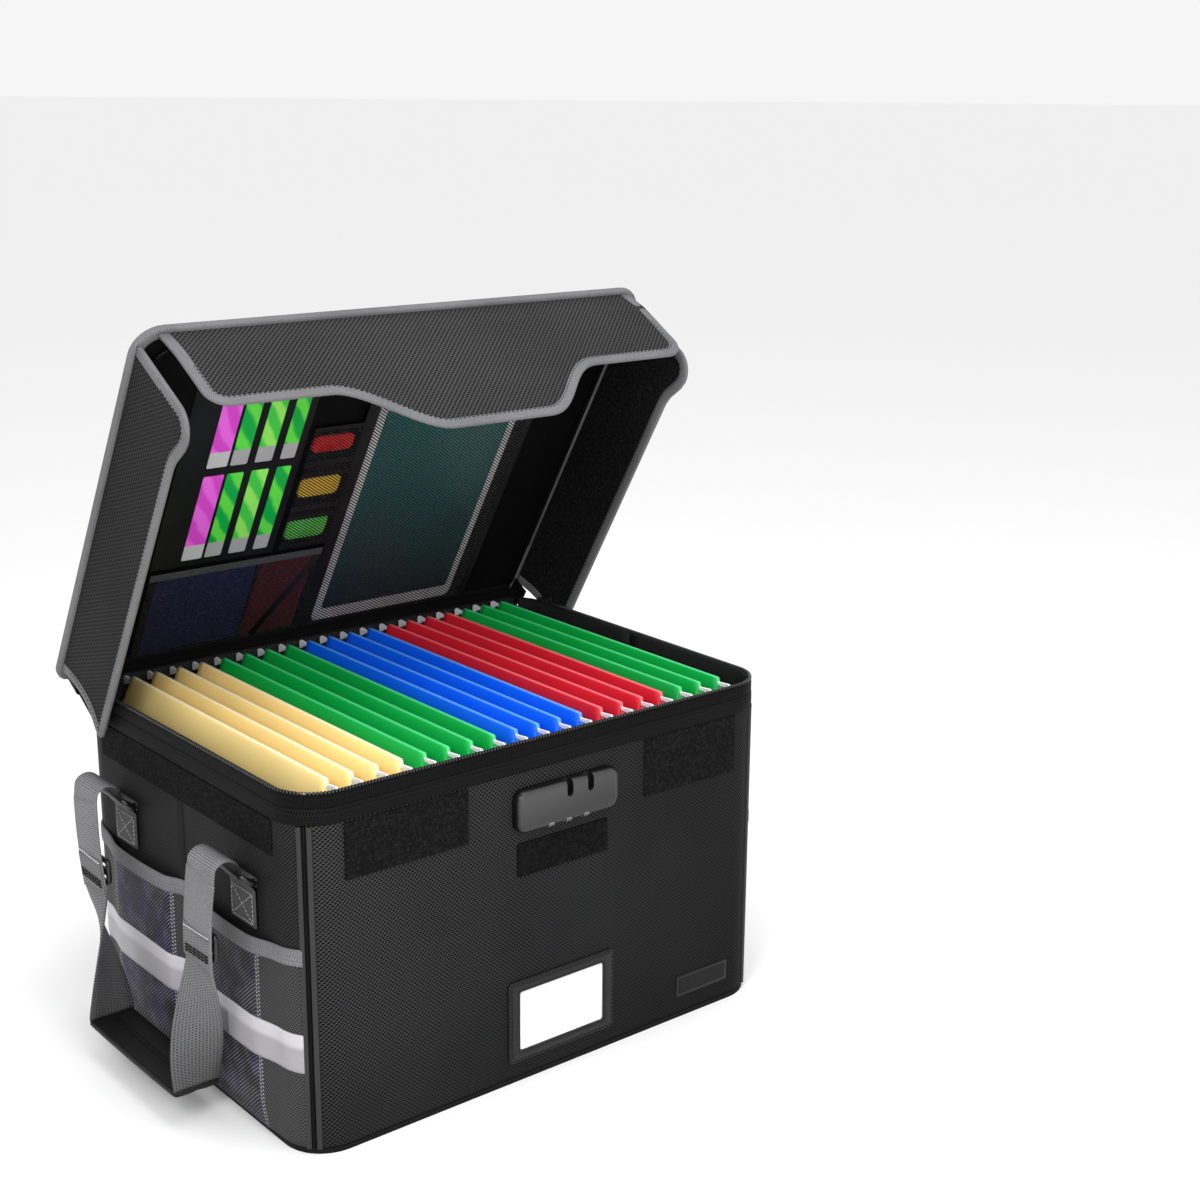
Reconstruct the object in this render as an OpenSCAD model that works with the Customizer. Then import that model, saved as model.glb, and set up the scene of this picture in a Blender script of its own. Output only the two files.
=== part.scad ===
// Portable file box: soft-sided box with a hinged flap lid, hanging folders on rails,
// side pockets, side handles, a zip and a three-dial lock.
// Frame: origin at the centre of the base, +Z up, front towards -Y.

/* [Box] */
// Outside width of the box, left to right
body_w = 420; // [400:2:460]
// Outside depth of the box, front to back
body_d = 320; // [318:2:330]
// Height of the box up to its rim
body_h = 262; // [258:1:275]
// Outside radius of the upright corners
corner_r = 32; // [24:1:38]
// Thickness of a fabric-covered wall board
wall_t = 4; // [3:0.5:5]
// Height of the zip tape band round the rim
band_h = 22; // [16:1:24]

/* [Lid] */
// Angle from closed at which the lid stands at rest
lid_open = 59; // [30:1:100]
// Thickness of the lid board
lid_t = 4; // [3:0.5:5]
// Radius of the rolled binding round the lid
bind_r = 3.4; // [2.6:0.2:3.6]
// Depth of the side flaps below the lid edge
side_flap = 76; // [60:1:76]
// Depth of the front flap at its two ends
front_flap_end = 84; // [70:1:90]
// Depth of the front flap at its tongue
front_flap_tongue = 132; // [120:1:135]

/* [Folders] */
// Spacing of the hanging folders
folder_pitch = 19.55; // [19:0.05:20]
// Length of a folder's paper (letter size)
folder_len = 297.2; // [290:0.2:297.6]
// Height of a folder's ridge above the base
folder_top = 264.3; // [258:0.1:264.4]

/* [Lock and label] */
// Centre of the lock, left to right
lock_x = 8; // [-20:1:20]
// Height of the lock's lower edge
lock_z = 196; // [190:1:200]
// Centre of the label holder, left to right
label_x = 6; // [-20:1:20]

/* [Handles] */
// Distance of each handle end from the middle of the side
handle_y = 88; // [80:1:92]
// Width of the handle webbing
web_w = 38; // [30:1:38]
// Height of the grip's underside above the base
grip_z = 25; // [20:1:40]

/* [Hidden] */
$fn = 48;

W = body_w; D = body_d; H = body_h; R = corner_r; T = wall_t;
hw = W/2; hd = D/2;
// the lid's hinge line, behind the back panel and a little below the rim
hinge_y = hd + 2.2; hinge_z = H - 12;
// centre line of the lid's rolled binding, in the closed position
bx = hw + 7.6; by_f = hd + 8; by_r = hd + 0.4; bz = H + 9.5;
lid_z = bz - lid_t/2;      // underside of the lid board, closed
lay_z = lid_z - 0.8;       // underside of the lining, closed

// ---------- helpers ----------
module sx() { children(); mirror([1,0,0]) children(); }
module sy() { children(); mirror([0,1,0]) children(); }
module rrect(w, d, r) {
  square([w - 2*r, d], center = true);
  square([w, d - 2*r], center = true);
  for (x = [-1,1], y = [-1,1]) translate([x*(w/2 - r), y*(d/2 - r)]) circle(r, $fn = 64);
}
module slab(w, d, r, z0, z1) translate([0,0,z0]) linear_extrude(z1 - z0) rrect(w, d, r);
module box(a, b) translate(a) cube(b - a);
// a ring that follows the wall's outline, between two offsets from its outer face
module ring(o0, o1, z0, z1) translate([0,0,z0]) linear_extrude(z1 - z0) difference() {
  rrect(W + 2*o1, D + 2*o1, R + o1);
  rrect(W + 2*o0, D + 2*o0, R + o0);
}
// rounded bar along an axis
module ybar(x, z, y0, y1, r) translate([x, y0, z]) rotate([-90,0,0]) cylinder(r = r, h = y1 - y0);
module xbar(y, z, x0, x1, r) translate([x0, y, z]) rotate([0,90,0]) cylinder(r = r, h = x1 - x0);
// everything made for the closed lid, swung open to where it stands
module lid() translate([0, hinge_y, hinge_z]) rotate([-lid_open, 0, 0]) translate([0, -hinge_y, -hinge_z]) children();
// lid places are given as x and s, the distance from the hinge line towards the lid's front edge
module lidbox(x0, x1, s0, s1, z0, z1) lid() box([x0, hinge_y - s1, z0], [x1, hinge_y - s0, z1]);

// ---------- box shell ----------
seam = 2.5;
module wall() ring(-T, 0, T, H);
module front_wedge() {
  g = seam*sqrt(2); cx = hw - R; cy = -(hd - R);
  translate([0,0,-1]) linear_extrude(H + 10)
    polygon([[-cx + g, cy + 8], [-cx + g, cy], [-cx + g - 60, cy - 60], [cx - g + 60, cy - 60], [cx - g, cy], [cx - g, cy + 8]]);
}
module side_wedge() {
  g = seam*sqrt(2); cx = -(hw - R); cy = hd - R;
  translate([0,0,-1]) linear_extrude(H + 10)
    polygon([[cx + 8, cy - g], [cx, cy - g], [cx - 60, cy - g + 60], [cx - 60, -(cy - g + 60)], [cx, -(cy - g)], [cx + 8, -(cy - g)]]);
}
module side_half(s) intersection() {
  wall();
  side_wedge();
  translate([-hw - 20, s > 0 ? 0.5 : -hd, -1]) cube([80, hd - 0.5, H + 10]);
}
module bottom_panel() color("#242426") slab(W, D, R, 0, T);
module base_board() color("#1c1c1e") slab(W - 2*T - 4, D - 2*T - 4, R - T - 1, T, T + 2.5);
module front_panel() color("#2a2a2c") intersection() { wall(); front_wedge(); }
module back_panel() color("#2a2a2c") intersection() { wall(); mirror([0,1,0]) front_wedge(); }
module left_side_front() color("#2c2c2e") side_half(-1);
module left_side_rear() color("#2c2c2e") side_half(1);
module right_side_front() color("#2c2c2e") mirror([1,0,0]) side_half(-1);
module right_side_rear() color("#2c2c2e") mirror([1,0,0]) side_half(1);

// corded piping in each upright seam
module corner_pipings() color("#3c3c40") sx() sy()
  translate([-(hw - R) - (R - 1)*cos(45), -(hd - R) - (R - 1)*sin(45), T]) cylinder(r = seam, h = H - band_h - T);

module rim_zip_tape() color("#161618") intersection() {
  ring(0, 1.2, H - band_h, H);
  translate([-hw - 20, -hd - 20, 0]) cube([W + 40, D/2 + 20 + 140, H + 10]);
}
module body_zip_teeth() color("#4a4a4c") intersection() {
  ring(-1.6, 1.2, H, H + 2.6);
  translate([-hw - 20, -hd - 20, 0]) cube([W + 40, D/2 + 20 + 132, H + 10]);
}

// rails that the folders' hooks hang on: a ledge from the wall and an upright lip
rail_top = H - 6.3;
module folder_rails() color("#101012") sy() intersection() {
  union() {
    box([-190, -(hd - T), rail_top - 12], [190, -(hd - T - 6.4), rail_top - 10.4]);
    box([-190, -(hd - T - 4.8), rail_top - 12], [190, -(hd - T - 6.4), rail_top]);
  }
  // the rails' ends follow the rounded corners
  slab(W - 2*T - 0.1, D - 2*T - 0.02, R - T, 0, H);
}

module velcro_patches() color("#0e0e10") {
  box([-176, -hd - 1.2, 198], [-76, -hd, H - band_h - 1]);
  box([84, -hd - 1.2, 194], [176, -hd, H - band_h - 1]);
  box([lock_x - 42, -hd - 1.2, lock_z - 35], [lock_x + 41, -hd, lock_z - 9]);
  sx() box([-hw - 1.2, -126, H - 49], [-hw, 126, H - band_h - 1]);
}

// ---------- lock ----------
lw = 92; lh = 32; lt = 8;
dial_z = lock_z + 2.6; dial_y = -hd - 3.9; dial_r = 3.4;
module lock_blank(w, h, r, t) translate([lock_x, -hd, lock_z + lh/2]) rotate([90,0,0]) linear_extrude(t) rrect(w, h, r);
module lock_housing() color("#5a5a5c") {
  difference() {
    union() { lock_blank(lw, lh, 7, 6); lock_blank(lw - 4, lh - 4, 6, lt); }
    // two notches that take the zip pulls
    for (x = [0, 19]) box([lock_x + x - 2.8, -hd - lt - 1, lock_z + lh - 12], [lock_x + x + 2.8, -hd - 2.5, lock_z + lh + 1]);
    // wells for the dials, open at the lower edge
    for (i = [-1:1]) {
      xbar(dial_y, dial_z, lock_x + 16*i - 3, lock_x + 16*i + 3, dial_r + 0.35);
      box([lock_x + 16*i - 3, dial_y - dial_r - 0.35, lock_z - 1], [lock_x + 16*i + 3, dial_y + dial_r + 0.35, dial_z]);
    }
    // pocket of the release button
    box([lock_x + lw/2 - 8, -hd - 5.8, lock_z + 6], [lock_x + lw/2 + 1, -hd - 0.8, lock_z + lh - 6]);
  }
  // axle of the dials
  xbar(dial_y, dial_z, lock_x - 22, lock_x + 22, 0.8);
}
module dial(i) color("#8a8a8c") difference() {
  xbar(dial_y, dial_z, lock_x + 16*i - 2.5, lock_x + 16*i + 2.5, dial_r);
  xbar(dial_y, dial_z, lock_x + 16*i - 3, lock_x + 16*i + 3, 1.1);
  for (a = [0:36:324]) translate([0, dial_y, dial_z]) rotate([a,0,0])
    translate([lock_x + 16*i - 3, -0.25, dial_r - 0.3]) cube([6, 0.5, 1]);
}
module lock_dial_1() dial(-1);
module lock_dial_2() dial(0);
module lock_dial_3() dial(1);
module lock_release_button() color("#3a3a3c")
  box([lock_x + lw/2 - 4.5, -hd - 5.4, lock_z + 6.4], [lock_x + lw/2 + 0.8, -hd - 1.2, lock_z + lh - 6.4]);

// ---------- label holder and bare badge ----------
lab_z = 48.5;
module yplate(w, h, r, y0, y1, x, z) translate([x, y0, z]) rotate([90,0,0]) linear_extrude(y0 - y1) rrect(w, h, r);
module label_holder() color("#1a1a1c") difference() {
  yplate(98, 64, 4, -hd, -hd - 2.4, label_x, lab_z);
  // recess the card slides into from above
  box([label_x - 41, -hd - 1.3, lab_z - 26], [label_x + 41, -hd + 1, lab_z + 40]);
  // window
  yplate(77, 46, 2, -hd + 1, -hd - 4, label_x, lab_z);
}
module label_window() color("#dfe8ee", 0.35) yplate(76.6, 45.6, 2, -hd - 1.5, -hd - 2.1, label_x, lab_z);
module label_card() color("#f4f4f2") box([label_x - 40.4, -hd - 1.0, lab_z - 25.5], [label_x + 40.4, -hd - 0.3, lab_z + 30]);
module badge_patch() color("#2e2e30") yplate(53, 17, 2, -hd, -hd - 1, 147, 26.5);

// ---------- side pockets ----------
bulge = 8.8; pocket_h = 150;
// plan outline of the pocket cloth: it hugs the corner, stands off the side and is sewn down in the middle
module pocket_plan(t0, t1) {
  b = [[-(hd - R), 0], [-116, bulge], [-10, bulge], [-2, 0], [2, 0], [10, bulge], [116, bulge], [hd - R, 0]];
  polygon(concat([for (p = b) [-hw - p[1] - t1, p[0]]], [for (i = [7:-1:0]) [-hw - b[i][1] - t0, b[i][0]]]));
  for (s = [-1,1]) intersection() {
    translate([-(hw - R), s*(hd - R)]) difference() { circle(R + t1, $fn = 96); circle(R + t0, $fn = 96); }
    translate([-(hw - R), s*(hd - R)]) polygon([[0, 0], [-60, 0], [-60, s*60*tan(39)]]);
  }
}
module pocket() {
  translate([0,0,4.5]) linear_extrude(pocket_h - 4.5) pocket_plan(0.2, 1.8);
  sy() box([-hw - bulge - 0.2, -114, 4.5], [-hw - 0.2, -12, 6]);
}
module pocket_binding() {
  translate([0,0,pocket_h - 10]) linear_extrude(11.2) pocket_plan(1.8, 2.8);
  translate([0,0,pocket_h]) linear_extrude(1.2) pocket_plan(0.2, 1.8);
}
module left_pocket() color("#333338") pocket();
module right_pocket() color("#333338") mirror([1,0,0]) pocket();
module pocket_bindings() color("#8c8c8e") sx() pocket_binding();
module reflective_strips() color("#cfccd2") sx() translate([0,0,62]) linear_extrude(28) pocket_plan(1.8, 2.4);

// ---------- handles ----------
ring_a = [-hw - 4, 188]; ring_b = [-hw - 14, 195.5];   // x, z of the ring's inner and outer bars
loop_c = [-hw - 24, 199]; loop_r = 10;                 // the webbing arches over to this
swing = [loop_c[0] - loop_r, loop_c[1]];               // where the handle swings
ring_len = norm(ring_b - ring_a);
module handle_tab() difference() {
  union() {
    box([-hw - 2.5, -handle_y - 17, 153], [-hw - 0.2, -handle_y + 17, 188]);
    ybar(ring_a[0], ring_a[1], -handle_y - 15, -handle_y + 15, 3.6);
  }
  ybar(ring_a[0], ring_a[1], -handle_y - 30, -handle_y + 30, 2.3);
}
module dring() translate([ring_a[0], -handle_y, ring_a[1]]) rotate([0, 180 + 36.87, 0]) {
  c = 4; l = ring_len; h = 21;
  for (u = [0, l]) translate([u, -(h - c), 0]) rotate([-90,0,0]) cylinder(r = 2, h = 2*(h - c));
  for (v = [-h, h]) translate([c, v, 0]) rotate([0,90,0]) cylinder(r = 2, h = l - 2*c);
  for (q = [[c, h - c, 90], [l - c, h - c, 0], [l - c, -h + c, 270], [c, -h + c, 180]])
    translate([q[0], q[1], 0]) rotate([0,0,q[2]]) rotate_extrude(angle = 90) translate([c, 0]) circle(2);
}
module web_loop() translate([loop_c[0], -handle_y + (web_w - 2)/2, loop_c[1]]) rotate([90,0,0])
  rotate_extrude(angle = 150, $fn = 96) translate([loop_r - 0.9, 0]) square([1.8, web_w - 2]);
module handle_tabs() color("#9a9a9c") sx() sy() handle_tab();
module handle_rings() color("#111113") sx() sy() dring();
module handle_loops() color("#b4b4b6") sx() sy() web_loop();

join_z = 128; top_z = swing[1] - 1.4; shift = 9;
module strap() translate([swing[0] + 0.9, 0, 0]) rotate([0,-90,0]) linear_extrude(1.8)
  polygon([[top_z, -handle_y - web_w/2], [top_z, -handle_y + web_w/2],
           [join_z, -handle_y + shift + web_w/2], [join_z, -handle_y + shift - web_w/2]]);
// the lower webbing turns a quarter turn on its way down to the flat grip
low_y = -handle_y + 22; low_z = grip_z + 5.6;
module webbing() translate([swing[0], low_y, low_z]) rotate([atan((shift + low_y*-1 - handle_y + 0)*-1/(join_z - low_z)), 0, 0])
  linear_extrude(join_z - low_z - 1.6, twist = 90, slices = 12) square([web_w - 2, 1.8], center = true);
module tri_glide() translate([swing[0] + 1.0, -handle_y + shift - 1.5, join_z + 6]) difference() {
  translate([0, -22, 0]) cube([3.2, 44, 18]);
  for (z = [3, 11]) translate([-1, -18.5, z]) cube([6, 37, 4]);
}
module grip() translate([swing[0], 0, grip_z]) {
  translate([-18, -67, 0]) cube([36, 134, 5.2]);
}
module left_straps() color("#b4b4b6") sy() strap();
module left_webbing() color("#7c7c7e") sy() webbing();
module left_tri_glides() color("#111113") sy() tri_glide();
module left_grip() color("#141416") grip();
module right_straps() color("#b4b4b6") mirror([1,0,0]) sy() strap();
module right_webbing() color("#7c7c7e") mirror([1,0,0]) sy() webbing();
module right_tri_glides() color("#111113") mirror([1,0,0]) sy() tri_glide();
module right_grip() color("#141416") mirror([1,0,0]) grip();

// ---------- zip sliders, parked behind the end of the lid's zip ----------
park_y = 120;
module slider() {
  box([-hw - 2.5, park_y - 6, H + 2.9], [-hw + 2.9, park_y + 6, H + 3.9]);
  box([-hw - 2.5, park_y - 6, H - 3], [-hw - 1.5, park_y + 6, H + 3.9]);
  box([-hw + 1.9, park_y - 6, H + 0.3], [-hw + 2.9, park_y + 6, H + 3.9]);
  // headed post that the pull hangs on
  xbar(park_y, H + 2, -hw - 5.6, -hw - 2, 0.9);
  xbar(park_y, H + 2, -hw - 5.8, -hw - 5.2, 1.9);
}
module pull() difference() {
  union() {
    xbar(park_y, H + 2, -hw - 4.6, -hw - 3.6, 2.8);
    box([-hw - 4.6, park_y - 2.4, H - 8], [-hw - 3.6, park_y + 2.4, H + 1.6]);
    translate([-hw - 3.6, park_y, H - 15]) rotate([0,-90,0]) linear_extrude(1) rrect(20, 8, 3);
  }
  xbar(park_y, H + 2, -hw - 6, -hw - 3, 1.3);
}
module left_zip_slider() color("#606062") slider();
module right_zip_slider() color("#606062") mirror([1,0,0]) slider();
module left_zip_pull() color("#38383a") pull();
module right_zip_pull() color("#38383a") mirror([1,0,0]) pull();

// ---------- lid ----------
// outline of the lid inside its binding line, at an offset
module lid_plan(o, r) translate([0, (by_r - by_f)/2]) rrect(2*bx + 2*o, by_f + by_r + 2*o, r);
module lid_panel() color("#28282a") lid() translate([0,0,lid_z]) linear_extrude(lid_t) lid_plan(-bind_r, 10 - bind_r);
module lid_binding() color("#8c8c8e") lid() translate([0,0,bz]) {
  c = 10;
  for (s = [-1,1]) translate([s*bx, 0, 0]) ybar(0, 0, -by_f + c, by_r - c, bind_r);
  xbar(-by_f, 0, -bx + c, bx - c, bind_r);
  xbar(by_r, 0, -bx + c, bx - c, bind_r);
  for (q = [[bx - c, by_r - c, 0], [-bx + c, by_r - c, 90], [-bx + c, -by_f + c, 180], [bx - c, -by_f + c, 270]])
    translate([q[0], q[1], 0]) rotate([0,0,q[2]]) rotate_extrude(angle = 90) translate([c, 0]) circle(bind_r);
}
module lid_lining() color("#161618") lid() slab(W - 10, D - 10, R - 5, lay_z, lid_z);
module lid_zip() color("#3a3a3c") lid() intersection() {
  ring(-1.6, 1.2, H + 3, lid_z);
  translate([-hw - 20, -hd - 20, 0]) cube([W + 40, D/2 + 20 + 104, H + 20]);
}
module lid_hinge_strip() color("#202022") lid() box([-204, hinge_y - 1, hinge_z + 1], [204, hinge_y + 1, bz - bind_r - 0.5]);

// ---------- organiser on the lid's lining ----------
module card_panel() color("#1e1e20") lidbox(-165, -60, 104, 300, lay_z - 1, lay_z);
module stick_pockets() color("#2a2a30") {
  lidbox(-57, -14, 109, 229, lay_z - 3.7, lay_z - 3.2);
  lidbox(-57, -56, 109, 229, lay_z - 3.2, lay_z);
  lidbox(-15, -14, 109, 229, lay_z - 3.2, lay_z);
}
module booklet_pocket() color("#24243a") {
  lidbox(-165, -14, 13, 102, lay_z - 3.7, lay_z - 3.2);
  lidbox(-165, -164, 13, 102, lay_z - 3.2, lay_z);
  lidbox(-15, -14, 13, 102, lay_z - 3.2, lay_z);
}
module tablet_pocket() color("#24303a") {
  lidbox(-9, 154, 12, 292, lay_z - 3.8, lay_z - 3.4);
  lidbox(-9, -8, 12, 292, lay_z - 3.4, lay_z);
  lidbox(153, 154, 12, 292, lay_z - 3.4, lay_z);
}
module tablet() color("#3a7a78") lid() translate([68, hinge_y - 134, lay_z - 3.1]) linear_extrude(2.9) rrect(140, 240, 8);
module pocket_contents() {
  // narrow cards in two rows
  for (r = [0,1]) for (c = [[-142,-124,"#e040d0"], [-121,-107,"#50d040"], [-101,-87,"#50d040"], [-79,-67,"#50d040"]])
    color(c[2]) lidbox(c[0], c[1], 111 + 92*r, 195 + 92*r, lay_z - 1.9, lay_z - 1.1);
  // three sticks
  for (k = [[205,221,"#c02020"], [161,179,"#e0c020"], [117,137,"#30a030"]])
    color(k[2]) lidbox(-54, -18, k[0], k[1], lay_z - 2.9, lay_z - 0.4);
  // two booklets
  color("#1c1c50") lidbox(-158, -72, 15, 96, lay_z - 2.9, lay_z - 0.4);
  color("#4a1018") lidbox(-68, -20, 15, 93, lay_z - 2.9, lay_z - 0.4);
}

// ---------- flaps ----------
flap_root = bz - bind_r - 0.4;
// lower edge of the front flap: a wide tongue that blends into shallower ends
function flap_low(x) = let (a = abs(x), e = bz - front_flap_end, t = bz - front_flap_tongue)
  a < 42 ? t : a < 116 ? t + (e - t)*(1 - cos(180*(a - 42)/74))/2 : e;
fx = hw - 5; fr = 16;
front_pts = concat([[-fx, flap_root], [fx, flap_root]],
  [for (a = [0:15:90]) [fx - fr + fr*cos(a), flap_low(fx) + fr - fr*sin(a)]],
  [for (x = [116:-7.4:42]) [x, flap_low(x)]],
  [for (x = [-42:-7.4:-116]) [x, flap_low(x)]],
  [for (a = [90:-15:0]) [-fx + fr - fr*cos(a), flap_low(fx) + fr - fr*sin(a)]]);
module front_flap() color("#2c2c2e") lid() intersection() {
  translate([0, -by_f + 20, 0]) rotate([90,0,0]) linear_extrude(40) polygon(front_pts);
  // the flap leans out from its root and then drops straight, clear of the lock
  translate([-hw, 0, 0]) rotate([90,0,90]) linear_extrude(W)
    polygon([[-by_f + 1.2, bz], [-by_f - 1.2, bz], [-by_f - 1.2, flap_root], [-by_f - 4.4, flap_root - 22], [-by_f - 4.4, 100],
             [-by_f - 2, 100], [-by_f - 2, flap_root - 22], [-by_f + 1.2, flap_root]]);
}
// the side flaps are a little deeper at the front; their rear edge draws in and runs out to a point
sy0 = -hd; sy1 = hd - 8; sr = 18; front_extra = 9;
module side_flap_plate() lid() translate([-bx + 1.2, 0, 0]) rotate([0,-90,0]) linear_extrude(2.4)
  polygon(concat([[flap_root, sy1 - 2], [flap_root, sy0]],
    [for (a = [0:15:90]) [bz - side_flap - front_extra + sr - sr*sin(a), sy0 + sr - sr*cos(a)]],
    [[bz - side_flap, -113], [bz - side_flap, sy1 - 10]],
    [for (a = [75:-15:0]) [bz - side_flap + 5 - 5*sin(a), sy1 - 5 + 5*cos(a)]],
    [[bz - side_flap + 10, sy1 - 1.5], [bz - side_flap + 16, sy1 - 4.5], [bz - side_flap + 26, sy1 - 8], [bz - side_flap + 42, sy1 - 9], [bz - side_flap + 61, sy1 - 5.5]]));
module left_flap() color("#2c2c2e") side_flap_plate();
module right_flap() color("#2c2c2e") mirror([1,0,0]) side_flap_plate();

// ---------- hanging folders ----------
// one folder with its two closed leaves, the hanger bar and its hooked ends
module folder(x) translate([x, 0, 0]) {
  intersection() {
    translate([0, folder_len/2, 0]) rotate([90,0,0]) linear_extrude(folder_len)
      polygon([[-1, folder_top], [1, folder_top], [1.6, folder_top - 1], [3, folder_top - 27], [3, 28], [-9, 28], [-9, folder_top - 37], [-1.6, folder_top - 1]]);
    translate([-20, 0, 0]) rotate([90,0,90]) linear_extrude(40)
      polygon([[-140, folder_top], [140, folder_top], [141, folder_top - 6], [folder_len/2, folder_top - 22], [folder_len/2, 28], [-folder_len/2, 28], [-folder_len/2, folder_top - 22], [-141, folder_top - 6]]);
  }
  box([-0.7, -(hd - T - 1.4), rail_top + 0.3], [0.7, hd - T - 1.4, rail_top + 6.3]);
  sy() box([-0.7, -(hd - T - 1.4), rail_top - 4], [0.7, -(hd - T - 3.6), rail_top + 6.3]);
}
fx0 = -9*folder_pitch;
module folder_group(a, b) for (i = [a:b]) folder(fx0 + i*folder_pitch);
module folders_manila() color("#f2d490") folder_group(0, 3);
module folders_green_left() color("#0a9a3c") folder_group(4, 7);
module folders_blue() color("#1060e0") folder_group(8, 11);
module folders_red() color("#c01c2c") folder_group(12, 15);
module folders_green_right() color("#0a9a3c") folder_group(16, 18);

bottom_panel();
base_board();
front_panel();
back_panel();
left_side_front();
left_side_rear();
right_side_front();
right_side_rear();
corner_pipings();
rim_zip_tape();
body_zip_teeth();
folder_rails();
velcro_patches();
lock_housing();
lock_dial_1();
lock_dial_2();
lock_dial_3();
lock_release_button();
label_holder();
label_window();
label_card();
badge_patch();
left_pocket();
right_pocket();
pocket_bindings();
reflective_strips();
handle_tabs();
handle_rings();
handle_loops();
left_straps();
left_webbing();
left_tri_glides();
left_grip();
right_straps();
right_webbing();
right_tri_glides();
right_grip();
left_zip_slider();
right_zip_slider();
left_zip_pull();
right_zip_pull();
lid_panel();
lid_binding();
lid_lining();
lid_zip();
lid_hinge_strip();
card_panel();
stick_pockets();
booklet_pocket();
tablet_pocket();
tablet();
pocket_contents();
front_flap();
left_flap();
right_flap();
folders_manila();
folders_green_left();
folders_blue();
folders_red();
folders_green_right();
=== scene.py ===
import math

import bpy
import bmesh
import numpy as np
from mathutils import Matrix, Vector


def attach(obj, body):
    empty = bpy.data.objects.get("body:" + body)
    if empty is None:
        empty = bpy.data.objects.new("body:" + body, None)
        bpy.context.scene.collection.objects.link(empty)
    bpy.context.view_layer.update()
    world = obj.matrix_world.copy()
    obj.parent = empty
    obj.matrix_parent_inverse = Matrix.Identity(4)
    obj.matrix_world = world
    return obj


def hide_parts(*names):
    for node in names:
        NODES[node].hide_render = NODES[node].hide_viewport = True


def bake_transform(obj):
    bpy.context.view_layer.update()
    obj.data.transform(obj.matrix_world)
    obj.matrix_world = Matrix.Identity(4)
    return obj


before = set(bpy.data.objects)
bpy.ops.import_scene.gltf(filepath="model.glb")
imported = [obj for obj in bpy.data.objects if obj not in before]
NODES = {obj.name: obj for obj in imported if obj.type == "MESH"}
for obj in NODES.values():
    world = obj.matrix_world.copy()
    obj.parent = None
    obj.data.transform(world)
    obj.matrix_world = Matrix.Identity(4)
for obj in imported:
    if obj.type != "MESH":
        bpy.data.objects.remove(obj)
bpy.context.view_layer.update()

# ---------------------------------------------------------------- sizes, in millimetres
S = 0.001
W, D, H, R, T = 420.0, 320.0, 262.0, 32.0, 4.0
HW, HD = W / 2, D / 2
BAND = 22.0
HY, HZ = HD + 2.2, H - 12.0              # the lid's hinge line
OPEN = math.radians(59.0)
BX, BYF, BYR, BZ = HW + 7.6, HD + 8.0, HD + 0.4, H + 9.5
BR = 3.4
LIDZ = BZ - 2.0
LAY = LIDZ - 0.8
ROOT = BZ - BR - 0.4
LOCK_X, LOCK_Z = 8.0, 196.0
CO, SI = math.cos(OPEN), math.sin(OPEN)


def lid(P):
    """Places given for the closed lid, swung to where the lid stands."""
    P = np.asarray(P, float)
    Q = P.copy()
    dy, dz = P[..., 1] - HY, P[..., 2] - HZ
    Q[..., 1] = HY + dy * CO + dz * SI
    Q[..., 2] = HZ - dy * SI + dz * CO
    return Q


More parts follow.
